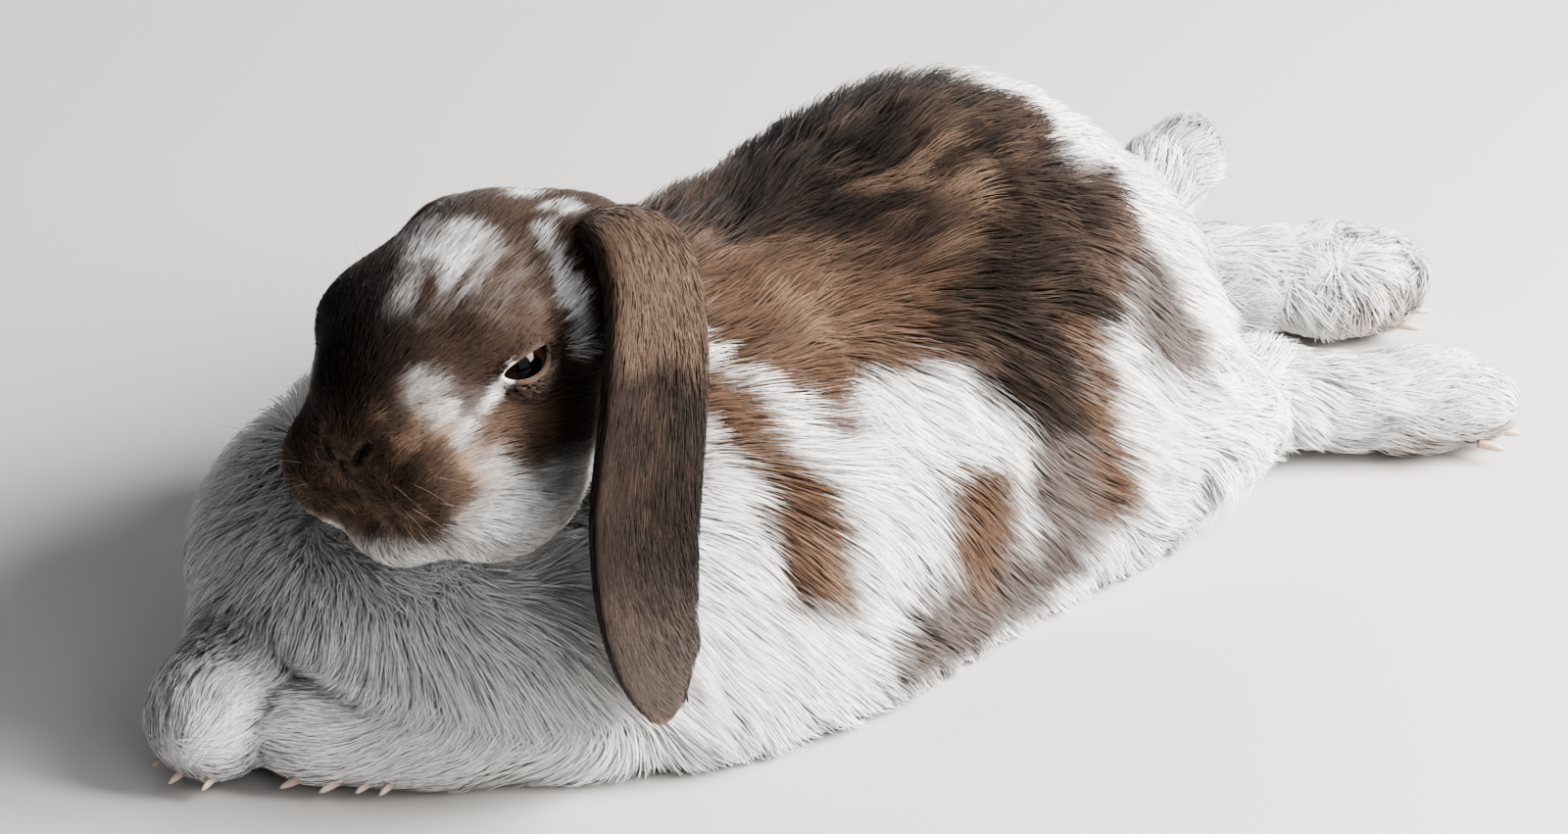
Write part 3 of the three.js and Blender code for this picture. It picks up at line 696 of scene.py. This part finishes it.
def body_skin():
    """Points and quads of the skin of head and body, finer over the head."""
    axes = [
        graded(-96, 102, -26, 62, 1.15, 2.5),
        graded(-254, 200, -218, -128, 1.15, 2.5),
        graded(-2, 150, 62, 148, 1.15, 2.5),
    ]
    points, quads = surface_net(to_skin, axes)
    return settle(to_skin, points), quads


def unwrap(piece):
    """The skin's own unwrap, which the coat's tufts share."""
    piece.data.uv_layers.new(name="OFBake")
    bpy.context.view_layer.objects.active = piece
    piece.select_set(True)
    bpy.ops.object.mode_set(mode="EDIT")
    bpy.ops.mesh.select_all(action="SELECT")
    bpy.ops.uv.smart_project(angle_limit=math.radians(66), island_margin=0.002)
    bpy.ops.object.mode_set(mode="OBJECT")
    uvs = np.empty(len(piece.data.loops) * 2, np.float32)
    piece.data.uv_layers["OFBake"].data.foreach_get("uv", uvs)
    return uvs.reshape(-1, 4, 2)


# ---- Tufts ----

def scatter(rng, points, quads, density):
    """Random places on quads, so many to a square centimetre: the quads, weights and places."""
    corner = points[quads]
    area = 0.5 * np.linalg.norm(np.cross(corner[:, 2] - corner[:, 0], corner[:, 3] - corner[:, 1]), axis=1)
    expected = area * density[quads].mean(1) / 100
    count = rng.poisson(expected)
    chosen = np.repeat(np.arange(len(quads)), count)
    u, v = rng.random((2, len(chosen)))
    weights = np.stack([(1 - u) * (1 - v), u * (1 - v), u * v, (1 - u) * v], 1)
    return chosen, weights, (corner[chosen] * weights[..., None]).sum(1)


def gather(paths, pull, tufts_each, rng):
    """Draws each tuft towards the nearest of a few, so that they part into locks."""
    leaders = rng.choice(len(paths), max(1, len(paths) // tufts_each), replace=False)
    tree = KDTree(len(leaders))
    for place, leader in enumerate(leaders):
        tree.insert(paths[leader, 0], place)
    tree.balance()
    nearest = leaders[[tree.find(root)[1] for root in paths[:, 0]]]
    along = np.linspace(0, 1, paths.shape[1])[None, :, None] ** 1.3
    towards = paths[nearest] - paths
    return paths + towards * along * pull[:, None, None], nearest


class Tufts:
    """Blades of fur: their paths, the way the skin faces, widths, colours and places on the map."""

    def __init__(self, paths, facing, widths, colours, uvs):
        self.paths = paths
        self.facing = facing
        self.widths = widths
        self.colours = colours
        self.uvs = uvs

    def part(self, keep):
        kept = [values[keep] for values in (self.paths, self.facing, self.widths, self.colours, self.uvs)]
        return Tufts(*kept)


def body_tufts(rng, points, quads, uvs, keep, steps):
    """Tufts over the skin of head and body, laid along it by the coat's lie."""
    coat = coat_at(points)
    chosen, weights, roots = scatter(rng, points, quads[keep], coat["density"])
    quads, uvs = quads[keep], uvs[keep]
    _, normal = slope(to_skin, roots)
    normal = unit(normal)
    from_cuts = np.min([distance(roots) for distance, _ in CARVINGS], 0)
    wanted = ((roots[:, 2] > 3) | (normal[:, 2] > -0.3)) & (from_cuts > 0.25)
    chosen, weights, roots, normal = chosen[wanted], weights[wanted], roots[wanted], normal[wanted]
    coat = coat_at(roots)
    count = len(roots)
    near_head = ramp(joined(roots, 1, 1), 2, 26)
    body_share = 1 - coat["head"]
    shorter = 1 - body_share * (1 - near_head) * 0.5
    shorter *= 0.35 + 0.65 * ramp(from_cuts[wanted], 0, 5)
    shorter *= 1 - 0.35 * body_share * ramp(normal[:, 2], 0.5, 0.95)
    lie = unit(coat["lie"])
    steepness = np.sqrt(np.clip(1 - normal[:, 2] ** 2, 0, 1))
    lie[:, 2] -= coat["droop"] * steepness
    swirl = np.stack([noise(roots, 24, 60 + k) + 0.7 * noise(roots, 8, 65 + k) for k in range(3)], 1)
    lie += swirl * coat["ruffle"][:, None] + rng.normal(0, 0.12, (count, 3))
    heading = unit(lie - normal * (lie * normal).sum(1, keepdims=True))
    length = coat["length"] * rng.uniform(0.7, 1.15, count) * shorter
    layer = 1 - rng.uniform(0, 1, count) * np.minimum(0.25 + 0.8 * coat["ruffle"], 0.75)
    layer *= 1 - 0.65 * body_share * (1 - near_head)
    woolly = np.clip(coat["ruffle"] - 0.35, 0, 0.55)
    layer *= 1 - woolly * ramp(noise(roots, 9, 68), -0.3, 0.8)
    paths = [roots - normal * 0.3]
    here = roots
    for step in range(steps):
        share = (step + 1) / steps
        here = here + heading * (length / steps)[:, None]
        value, gradient = slope(to_skin, here)
        gradient = unit(gradient)
        height = coat["depth"] * layer * (1 - (1 - share) ** 2)
        here = here + gradient * (height - value)[:, None]
        heading = unit(heading - gradient * (heading * gradient).sum(1, keepdims=True))
        paths.append(here)
    paths = np.stack(paths, 1)
    paths, leader = gather(paths, coat["clump"] * rng.uniform(0.6, 1.0, count), 11, rng)
    paths, _ = gather(paths, woolly * rng.uniform(0.5, 1.1, count), 40, rng)
    tip = paths[:, -1]
    value, gradient = slope(to_tips, tip)
    stray = rng.uniform(0, 1, count) ** 3 * (1 + 5 * ramp(tip[:, 1], -20, 40) * body_share)
    paths[:, -1] = tip - unit(gradient) * np.maximum(value - stray, 0)[:, None]
    paths[..., 2] = np.maximum(paths[..., 2], 0.35)
    seen = (paths[:, -2] + 2 * paths[:, -1]) / 3 + normal * (coat["depth"] * (1 - layer))[:, None]
    own = markings_and_shade(seen, coat["head"])
    colours = 0.5 * own[leader] + 0.5 * own
    patch_uv = (uvs[chosen] * weights[..., None]).sum(1)
    tufts = Tufts(paths, normal, coat["width"] * rng.uniform(0.7, 1.2, count), colours, patch_uv)
    return tufts.part(clear_of_eyes(paths))


def clear_of_eyes(paths):
    """Which tufts leave the eyes' openings free."""
    keep = np.full(len(paths), True)
    for side in (1, -1):
        local = (paths - EYES[side]) @ np.stack(eye_axes(side), 1)
        from_middle = (local[..., 1:] - EYE_OPENING[1:]) / EYE_OPENING_RADII
        inside = (local[..., 0] > 3) & (size(from_middle) < 1)
        keep &= ~inside.any(1)
    return keep


def ear_tufts(rng, side, points, quads, uvs):
    """Short tufts lying down the ear towards its tip."""
    walls = (EAR_RINGS - 1) * EAR_SIDES
    chosen, weights, roots = scatter(rng, points, quads[:walls], np.full(len(points), 425.0))
    ring, step = chosen // EAR_SIDES, chosen % EAR_SIDES
    after = weights[:, 2] + weights[:, 3] if side < 0 else weights[:, 0] + weights[:, 1]
    beside = weights[:, 1] + weights[:, 2]
    share = (ring + after) / (EAR_RINGS - 1)
    angle = (step + beside) * 2 * math.pi / EAR_SIDES
    count = len(share)
    length = rng.uniform(4.5, 8, count)
    drift = rng.normal(0, 0.05, count)
    paths = []
    for part in (0, 0.5, 1):
        lift = -EAR_COAT - 0.3 + (EAR_COAT + 0.6) * part ** 0.7 * rng.uniform(0.8, 1.05, count)
        place, facing = ear_surface(side, share + part * length / EAR_LENGTH, angle + part * drift, lift)
        paths.append(place)
    paths = np.stack(paths, 1)
    paths, _ = gather(paths, rng.uniform(0, 0.12, count), 9, rng)
    colours = ear_markings_and_sheen(paths[:, 1], share, angle)
    patch_uv = (uvs[chosen] * weights[..., None]).sum(1)
    return Tufts(paths, facing, rng.uniform(0.18, 0.3, count), colours, patch_uv)


def tuft_piece(name, tufts, material, rng):
    """One mesh of tapering ribbons, one for each tuft."""
    count, stops = tufts.paths.shape[:2]
    direction = unit(np.gradient(tufts.paths, axis=1))
    facing = tufts.facing[:, None, :]
    across = unit(np.cross(direction, facing))
    twist = rng.uniform(-0.9, 0.9, count)[:, None, None]
    across = unit(across * np.cos(twist) + np.cross(direction, across) * np.sin(twist))
    taper = np.array([1.0, 0.95, 0.7, 0.4])[:stops - 1] if stops > 3 else np.array([1.0, 0.75])
    half = 0.5 * tufts.widths[:, None, None] * taper[None, :, None]
    left = tufts.paths[:, :-1] - across[:, :-1] * half
    right = tufts.paths[:, :-1] + across[:, :-1] * half
    rows = np.stack([left, right], 2).reshape(count, -1, 3)
    points = np.concatenate([rows, tufts.paths[:, -1:]], 1)
    each = points.shape[1]
    strip = [[0, 1, 3], [0, 3, 2]]
    one = [[a + 2 * k for a in face] for k in range(stops - 2) for face in strip]
    one.append([each - 3, each - 2, each - 1])
    faces = (np.arange(count)[:, None, None] * each + np.array(one)).reshape(-1, 3)
    piece = new_mesh(name, points.reshape(-1, 3), faces)
    down = np.repeat(np.linspace(0, 1, stops)[:-1], 2)
    down = np.append(down, 1.0)
    # Tone varies at random from tuft to tuft; each tuft is also darker towards its root, as painted shade
    # deep in the coat.
    tone_and_root_shade = rng.normal(1, 0.10, count)[:, None] * (0.72 + 0.34 * down)[None, :]
    set_colours(piece, np.clip(tufts.colours[:, None, :] * tone_and_root_shade[..., None], 0, 1).reshape(-1, 3))
    ribbon = np.cross(across, direction)
    ribbon *= np.sign((ribbon * facing).sum(-1, keepdims=True))
    shading = unit(0.62 * facing + 0.38 * ribbon)
    shading = np.concatenate([np.repeat(shading[:, :-1], 2, 1), shading[:, -1:]], 1)
    piece.data.normals_split_custom_set_from_vertices(shading.reshape(-1, 3))
    flat = np.stack([np.tile([-1.0, 1.0], stops - 1), down[:-1] * 2 - 1], 1)
    flat = np.vstack([flat, [0.0, 1.0]]) * 0.0015
    uvs = tufts.uvs[:, None, :] + flat[None]
    layer = piece.data.uv_layers.new(name="OFBake")
    layer.data.foreach_set("uv", uvs.reshape(-1, 2)[faces.ravel()].astype(np.float32).ravel())
    piece.data.materials.append(material)
    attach(piece, "root")


# ---- Materials ----

def new_material(name, roughness, specular=0.5):
    material = bpy.data.materials.new(name)
    material.use_nodes = True
    shader = material.node_tree.nodes["Principled BSDF"]
    shader.inputs["Roughness"].default_value = roughness
    shader.inputs["Specular IOR Level"].default_value = specular
    return material, shader


def add_node(material, kind, **values):
    node = material.node_tree.nodes.new(kind)
    for key, value in values.items():
        if key in node.inputs:
            node.inputs[key].default_value = value
        else:
            setattr(node, key, value)
    return node


def fur_material(name, grain, bump):
    """Coat colours from the mesh, varied hair by hair, with a soft sheen and rough fine grain."""
    material, shader = new_material(name, 0.75, 0.2)
    links = material.node_tree.links
    colour = add_node(material, "ShaderNodeAttribute", attribute_name="coat")
    place = add_node(material, "ShaderNodeTexCoord")
    fleck = add_node(material, "ShaderNodeTexNoise", Scale=grain, Detail=3.0, Roughness=0.6)
    links.new(place.outputs["Object"], fleck.inputs["Vector"])
    spread = add_node(material, "ShaderNodeMapRange")
    spread.inputs["To Min"].default_value = 0.72
    spread.inputs["To Max"].default_value = 1.28
    links.new(fleck.outputs["Fac"], spread.inputs["Value"])
    shade = add_node(material, "ShaderNodeVectorMath", operation="SCALE")
    links.new(colour.outputs["Color"], shade.inputs[0])
    links.new(spread.outputs["Result"], shade.inputs["Scale"])
    links.new(shade.outputs["Vector"], shader.inputs["Base Color"])
    rough = add_node(material, "ShaderNodeMapRange")
    rough.inputs["To Min"].default_value = 0.62
    rough.inputs["To Max"].default_value = 0.88
    links.new(fleck.outputs["Fac"], rough.inputs["Value"])
    links.new(rough.outputs["Result"], shader.inputs["Roughness"])
    relief = add_node(material, "ShaderNodeBump", Strength=bump, Distance=0.0006)
    links.new(fleck.outputs["Fac"], relief.inputs["Height"])
    links.new(relief.outputs["Normal"], shader.inputs["Normal"])
    shader.inputs["Sheen Weight"].default_value = 0.25
    shader.inputs["Sheen Roughness"].default_value = 0.5
    return material


def eye_material():
    """A dark brown iris round a black pupil under a wet clear coat."""
    material, shader = new_material("eye", 0.12, 0.06)
    links = material.node_tree.links
    ring = add_node(material, "ShaderNodeAttribute", attribute_name="ring")
    place = add_node(material, "ShaderNodeTexCoord")
    fibres = add_node(material, "ShaderNodeTexNoise", Scale=900.0, Detail=4.0)
    links.new(place.outputs["Object"], fibres.inputs["Vector"])
    wobble = add_node(material, "ShaderNodeMath", operation="MULTIPLY_ADD")
    wobble.inputs[1].default_value = 0.08
    links.new(fibres.outputs["Fac"], wobble.inputs[0])
    links.new(ring.outputs["Fac"], wobble.inputs[2])
    zones = add_node(material, "ShaderNodeValToRGB")
    links.new(wobble.outputs["Value"], zones.inputs["Fac"])
    stops = zones.color_ramp.elements
    stops[0].position, stops[0].color = 0.17, (0.003, 0.002, 0.002, 1)
    stops[1].position, stops[1].color = 0.21, (0.022, 0.011, 0.006, 1)
    rim = stops.new(0.36)
    rim.color = (0.010, 0.005, 0.003, 1)
    links.new(zones.outputs["Color"], shader.inputs["Base Color"])
    rough = add_node(material, "ShaderNodeMapRange")
    rough.inputs["To Min"].default_value = 0.08
    rough.inputs["To Max"].default_value = 0.2
    links.new(fibres.outputs["Fac"], rough.inputs["Value"])
    links.new(rough.outputs["Result"], shader.inputs["Roughness"])
    shader.inputs["Coat Weight"].default_value = 0.35
    shader.inputs["Coat Roughness"].default_value = 0.03
    shader.inputs["Coat IOR"].default_value = 1.35
    return material


def claw_material():
    """Pale horn with a pink quick showing through near the root."""
    material, shader = new_material("claw_horn", 0.4)
    links = material.node_tree.links
    along = add_node(material, "ShaderNodeAttribute", attribute_name="along")
    place = add_node(material, "ShaderNodeTexCoord")
    grain = add_node(material, "ShaderNodeTexNoise", Scale=1200.0, Detail=3.0)
    links.new(place.outputs["Object"], grain.inputs["Vector"])
    wobble = add_node(material, "ShaderNodeMath", operation="MULTIPLY_ADD")
    wobble.inputs[1].default_value = 0.2
    links.new(grain.outputs["Fac"], wobble.inputs[0])
    links.new(along.outputs["Fac"], wobble.inputs[2])
    zones = add_node(material, "ShaderNodeValToRGB")
    links.new(wobble.outputs["Value"], zones.inputs["Fac"])
    stops = zones.color_ramp.elements
    stops[0].position, stops[0].color = 0.2, (0.46, 0.28, 0.22, 1)
    stops[1].position, stops[1].color = 0.9, (0.55, 0.47, 0.40, 1)
    links.new(zones.outputs["Color"], shader.inputs["Base Color"])
    relief = add_node(material, "ShaderNodeBump", Strength=0.3, Distance=0.0002)
    links.new(grain.outputs["Fac"], relief.inputs["Height"])
    links.new(relief.outputs["Normal"], shader.inputs["Normal"])
    return material


# ---- Eyes, claws and whiskers ----

def set_number(piece, name, values):
    attribute = piece.data.attributes.new(name, "FLOAT", "POINT")
    attribute.data.foreach_set("value", np.asarray(values, np.float32))


def lathe(centres, radii, axes, sides):
    """Points and quads of rings along a line, zipped shut at both ends. axes are two per ring."""
    angle = np.arange(sides) * 2 * math.pi / sides
    ring = axes[:, 0, None] * np.cos(angle)[None, :, None] + axes[:, 1, None] * np.sin(angle)[None, :, None]
    points = (centres[:, None] + ring * radii[:, None, None]).reshape(-1, 3)
    index = np.arange(len(points)).reshape(-1, sides)
    after = np.roll(index, -1, 1)
    walls = np.stack([index[:-1], after[:-1], after[1:], index[1:]], -1).reshape(-1, 4)
    half = np.arange(sides // 2 - 1)
    cap = np.stack([half, half + 1, sides - 2 - half, sides - 1 - half], 1)
    return points, np.concatenate([walls, cap[:, ::-1], cap + index[-1, 0]])


def add_eye(name, node, side, material):
    """An eyeball with a slightly raised cornea."""
    out, back, up = eye_axes(side)
    axis = np.stack([out, back, np.cross(out, back)])
    turn_from_front = np.linspace(math.pi - 0.04, 0.04, 40)
    reach = EYE_RADIUS + 0.35 * np.exp(-(turn_from_front / 0.6) ** 2)
    centres = EYES[side] + axis[0] * (reach * np.cos(turn_from_front))[:, None]
    axes = np.tile(axis[1:], (40, 1, 1))
    points, quads = lathe(centres, reach * np.sin(turn_from_front), axes, 48)
    piece = new_mesh(name, points, quads)
    set_number(piece, "ring", np.repeat(turn_from_front / math.pi, 48))
    piece.data.materials.append(material)
    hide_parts(node)
    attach(piece, "root")


def claw_shape(node):
    """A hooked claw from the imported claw's root to its tip."""
    corners = np.array([v.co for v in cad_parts[node].data.vertices], float)
    corners = (corners - ORIGIN) / MM
    middle = corners.mean(0)
    heading = np.linalg.svd(corners - middle)[2][0]
    outwards = middle - np.array([0, 0 if middle[1] < -100 else 60.0, middle[2]])
    heading = heading * np.sign(heading @ outwards)
    reach = (corners - middle) @ heading
    share = np.linspace(0, 1, 14)
    centres = middle + heading * (reach.min() + share * (reach.max() - reach.min()))[:, None]
    centres[:, 2] -= 0.5 * np.sin(share * math.pi / 2) ** 2
    centres[:, 2] = np.maximum(centres[:, 2], 1.2)
    radii = 1.5 * np.sqrt(1 - 0.98 * share ** 2)
    sideways = unit(np.cross(heading, [0, 0, 1]))
    above = np.cross(sideways, heading)
    axes = np.tile(np.stack([sideways * 0.8, above]), (len(share), 1, 1))
    points, quads = lathe(centres, radii, axes, 16)
    return points, quads, np.repeat(share, 16)


def add_claws(material):
    nodes = [
        f"claw_{paw}_{side}_{toe}"
        for paw in ("forepaw", "hindfoot") for side in ("left", "right") for toe in range(1, 5)
    ]
    shapes = [claw_shape(node) for node in nodes]
    starts = np.cumsum([0] + [len(shape[0]) for shape in shapes])
    quads = np.concatenate([shape[1] + start for shape, start in zip(shapes, starts)])
    piece = new_mesh("claws", np.concatenate([shape[0] for shape in shapes]), quads)
    set_number(piece, "along", np.concatenate([shape[2] for shape in shapes]))
    piece.data.materials.append(material)
    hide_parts(*nodes)
    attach(piece, "root")


def whisker(start, heading, length, droop):
    share = np.linspace(0, 1, 12)
    centres = start + heading * (length * share)[:, None]
    centres[:, 2] -= droop * share ** 2
    sideways = unit(np.cross(heading, [0, 0, 1]))
    axes = np.tile(np.stack([sideways, np.cross(sideways, heading)]), (12, 1, 1))
    return lathe(centres, 0.07 * (1.05 - share), axes, 6)


def add_whiskers(rng, material):
    shapes = []
    for side in (1, -1):
        for row in range(3):
            for place in range(4):
                start = on_head(side * (11.5 + 3.2 * place), -37 + 3.3 * place, -20 - 4.5 * row)
                value, gradient = slope(to_skin, start[None])
                start = start - gradient[0] * (value[0] + 0.8)
                heading = along_head(side * (0.85 + 0.1 * place), -0.35 + 0.3 * place, 0.1 - 0.2 * row)
                heading = unit(heading + rng.normal(0, 0.08, 3))
                shapes.append(whisker(start, heading, rng.uniform(22, 36), rng.uniform(2, 7)))
        for place in range(3):
            start = on_head(side * 22, -6 + 5 * place, 15)
            heading = unit(along_head(side * 0.7, -0.2 + 0.2 * place, 0.8) + rng.normal(0, 0.06, 3))
            shapes.append(whisker(start, heading, rng.uniform(8, 12), 1.0))
    starts = np.cumsum([0] + [len(shape[0]) for shape in shapes])
    quads = np.concatenate([shape[1] + start for shape, start in zip(shapes, starts)])
    points = np.concatenate([shape[0] for shape in shapes])
    piece = new_mesh("whiskers", points, quads)
    set_colours(piece, plain(GREY * 1.6, points))
    piece.data.materials.append(material)
    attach(piece, "root")


# ---- The rabbit ----

FLESH = ["head", "neck", "trunk", "tail"] + [
    f"{part}_{side}"
    for part in ("foreleg", "forepaw", "hindleg", "hindfoot", "ear") for side in ("left", "right")
]
TUFTS_IN_A_PIECE = 38000


def add_skin(material):
    """The one skin. Returns its body's and its ears' points, quads and places on the map."""
    parts = [body_skin(), ear_skin(1), ear_skin(-1), eyelid_rim(1), eyelid_rim(-1)]
    starts = np.cumsum([0] + [len(points) for points, _ in parts])
    quads = np.concatenate([quads + start for (_, quads), start in zip(parts, starts)])
    points = np.concatenate([points for points, _ in parts])
    piece = new_mesh("skin", points, quads)
    coat = coat_at(parts[0][0])
    _, upward = slope(to_skin, parts[0][0])
    colours = [markings_and_shade(parts[0][0] + unit(upward) * coat["depth"][:, None], coat["head"])]
    share = np.repeat(np.arange(EAR_RINGS) / (EAR_RINGS - 1), EAR_SIDES)
    angle = np.tile(np.arange(EAR_SIDES) * 2 * math.pi / EAR_SIDES, EAR_RINGS)
    colours += [ear_markings_and_sheen(parts[1][0], share, angle), ear_markings_and_sheen(parts[2][0], share, angle)]
    colours += [head_markings_and_shade(parts[3][0]), head_markings_and_shade(parts[4][0])]
    set_colours(piece, np.concatenate(colours) * 0.85)
    uvs = unwrap(piece)
    piece.data.materials.append(material)
    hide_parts(*FLESH)
    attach(piece, "root")
    ends = np.cumsum([0] + [len(quads) for _, quads in parts])
    return [(p, q, uvs[a:b]) for (p, q), a, b in zip(parts, ends[:-1], ends[1:])]


def add_coat(skin, material):
    rng = np.random.default_rng(11)
    points, quads, uvs = skin[0]
    on_the_head = coat_at(points)["head"][quads].mean(1) > 0.5
    body = body_tufts(rng, points, quads, uvs, ~on_the_head, 3)
    order = np.argsort(body.paths[:, 0, 1])
    pieces = math.ceil(len(order) / TUFTS_IN_A_PIECE)
    for number, chunk in enumerate(np.array_split(order, pieces)):
        tuft_piece(f"coat_body_{number + 1}", body.part(chunk), material, rng)
    head = body_tufts(rng, points, quads, uvs, on_the_head, 2)
    tuft_piece("coat_head", head, material, rng)
    for side, name in ((1, "left"), (-1, "right")):
        ear = ear_tufts(rng, side, *skin[1 if side > 0 else 2])
        tuft_piece(f"coat_ear_{name}", ear, material, rng)


# ---- Stage, light and camera ----

def add_floor():
    edge = 4000.0
    corners = np.array([[-edge, -edge, 0], [edge, -edge, 0], [edge, edge, 0], [-edge, edge, 0]])
    floor = new_mesh("floor", corners, [[0, 1, 2, 3]])
    material, shader = new_material("pale_floor", 0.8)
    shader.inputs["Base Color"].default_value = (0.60, 0.58, 0.56, 1)
    floor.data.materials.append(material)


def add_light(name, towards, distance, size, power, colour=(1, 1, 1)):
    """A soft square light facing the rabbit, from a direction seen from it."""
    data = bpy.data.lights.new(name, "AREA")
    data.size = size
    data.energy = power
    data.color = colour
    light = bpy.data.objects.new(name, data)
    direction = unit(towards)
    sideways = unit(np.cross([0, 0, 1], direction))
    spin = np.stack([sideways, np.cross(direction, sideways), direction], 1)
    light.matrix_world = Matrix.LocRotScale(direction * distance, Matrix(spin.tolist()).to_quaternion(), None)
    bpy.context.scene.collection.objects.link(light)


def add_lights():
    add_light("window", (0.85, 0.8, 0.85), 1.5, 0.8, 66, (1, 0.985, 0.97))
    add_light("room", (1.0, 0.0, 0.5), 1.8, 1.2, 10, (0.98, 0.98, 1))
    add_light("far", (-1.0, 0.5, 0.6), 1.8, 1.2, 7, (1, 0.99, 0.98))
    world = bpy.data.worlds.new("studio")
    world.use_nodes = True
    world.node_tree.nodes["Background"].inputs["Color"].default_value = (0.9, 0.92, 1, 1)
    world.node_tree.nodes["Background"].inputs["Strength"].default_value = 0.18
    bpy.context.scene.world = world
    bpy.context.scene.view_settings.look = "AgX - High Contrast"


CAMERA_PLACE = np.array([829.27, -648.96, 635.46])
CAMERA_AZIMUTH = 54.0
CAMERA_ELEVATION = 30.0
FOCAL_PIXELS = 4345.0
FRAME_PIXELS = 1600.0


def add_camera():
    azimuth, elevation = math.radians(CAMERA_AZIMUTH), math.radians(CAMERA_ELEVATION)
    back = np.array([
        math.sin(azimuth) * math.cos(elevation),
        -math.cos(azimuth) * math.cos(elevation),
        math.sin(elevation),
    ])
    right = np.array([math.cos(azimuth), math.sin(azimuth), 0])
    data = bpy.data.cameras.new("camera")
    data.sensor_width = 36
    data.lens = 36 * FOCAL_PIXELS / FRAME_PIXELS
    data.clip_end = 100
    camera = bpy.data.objects.new("camera", data)
    spin = np.stack([right, np.cross(back, right), back], 1)
    place = CAMERA_PLACE * MM + ORIGIN
    camera.matrix_world = Matrix.LocRotScale(place.tolist(), Matrix(spin.tolist()).to_quaternion(), None)
    bpy.context.scene.collection.objects.link(camera)
    bpy.context.scene.camera = camera


fur = fur_material("coat_fur", 700.0, 0.3)
hide = fur_material("hide", 1400.0, 0.8)
add_camera()
add_floor()
add_lights()
skin_parts = add_skin(hide)
add_coat(skin_parts, fur)
wet = eye_material()
add_eye("eyeball_left", "eye_left", 1, wet)
add_eye("eyeball_right", "eye_right", -1, wet)
add_claws(claw_material())
add_whiskers(np.random.default_rng(5), fur)
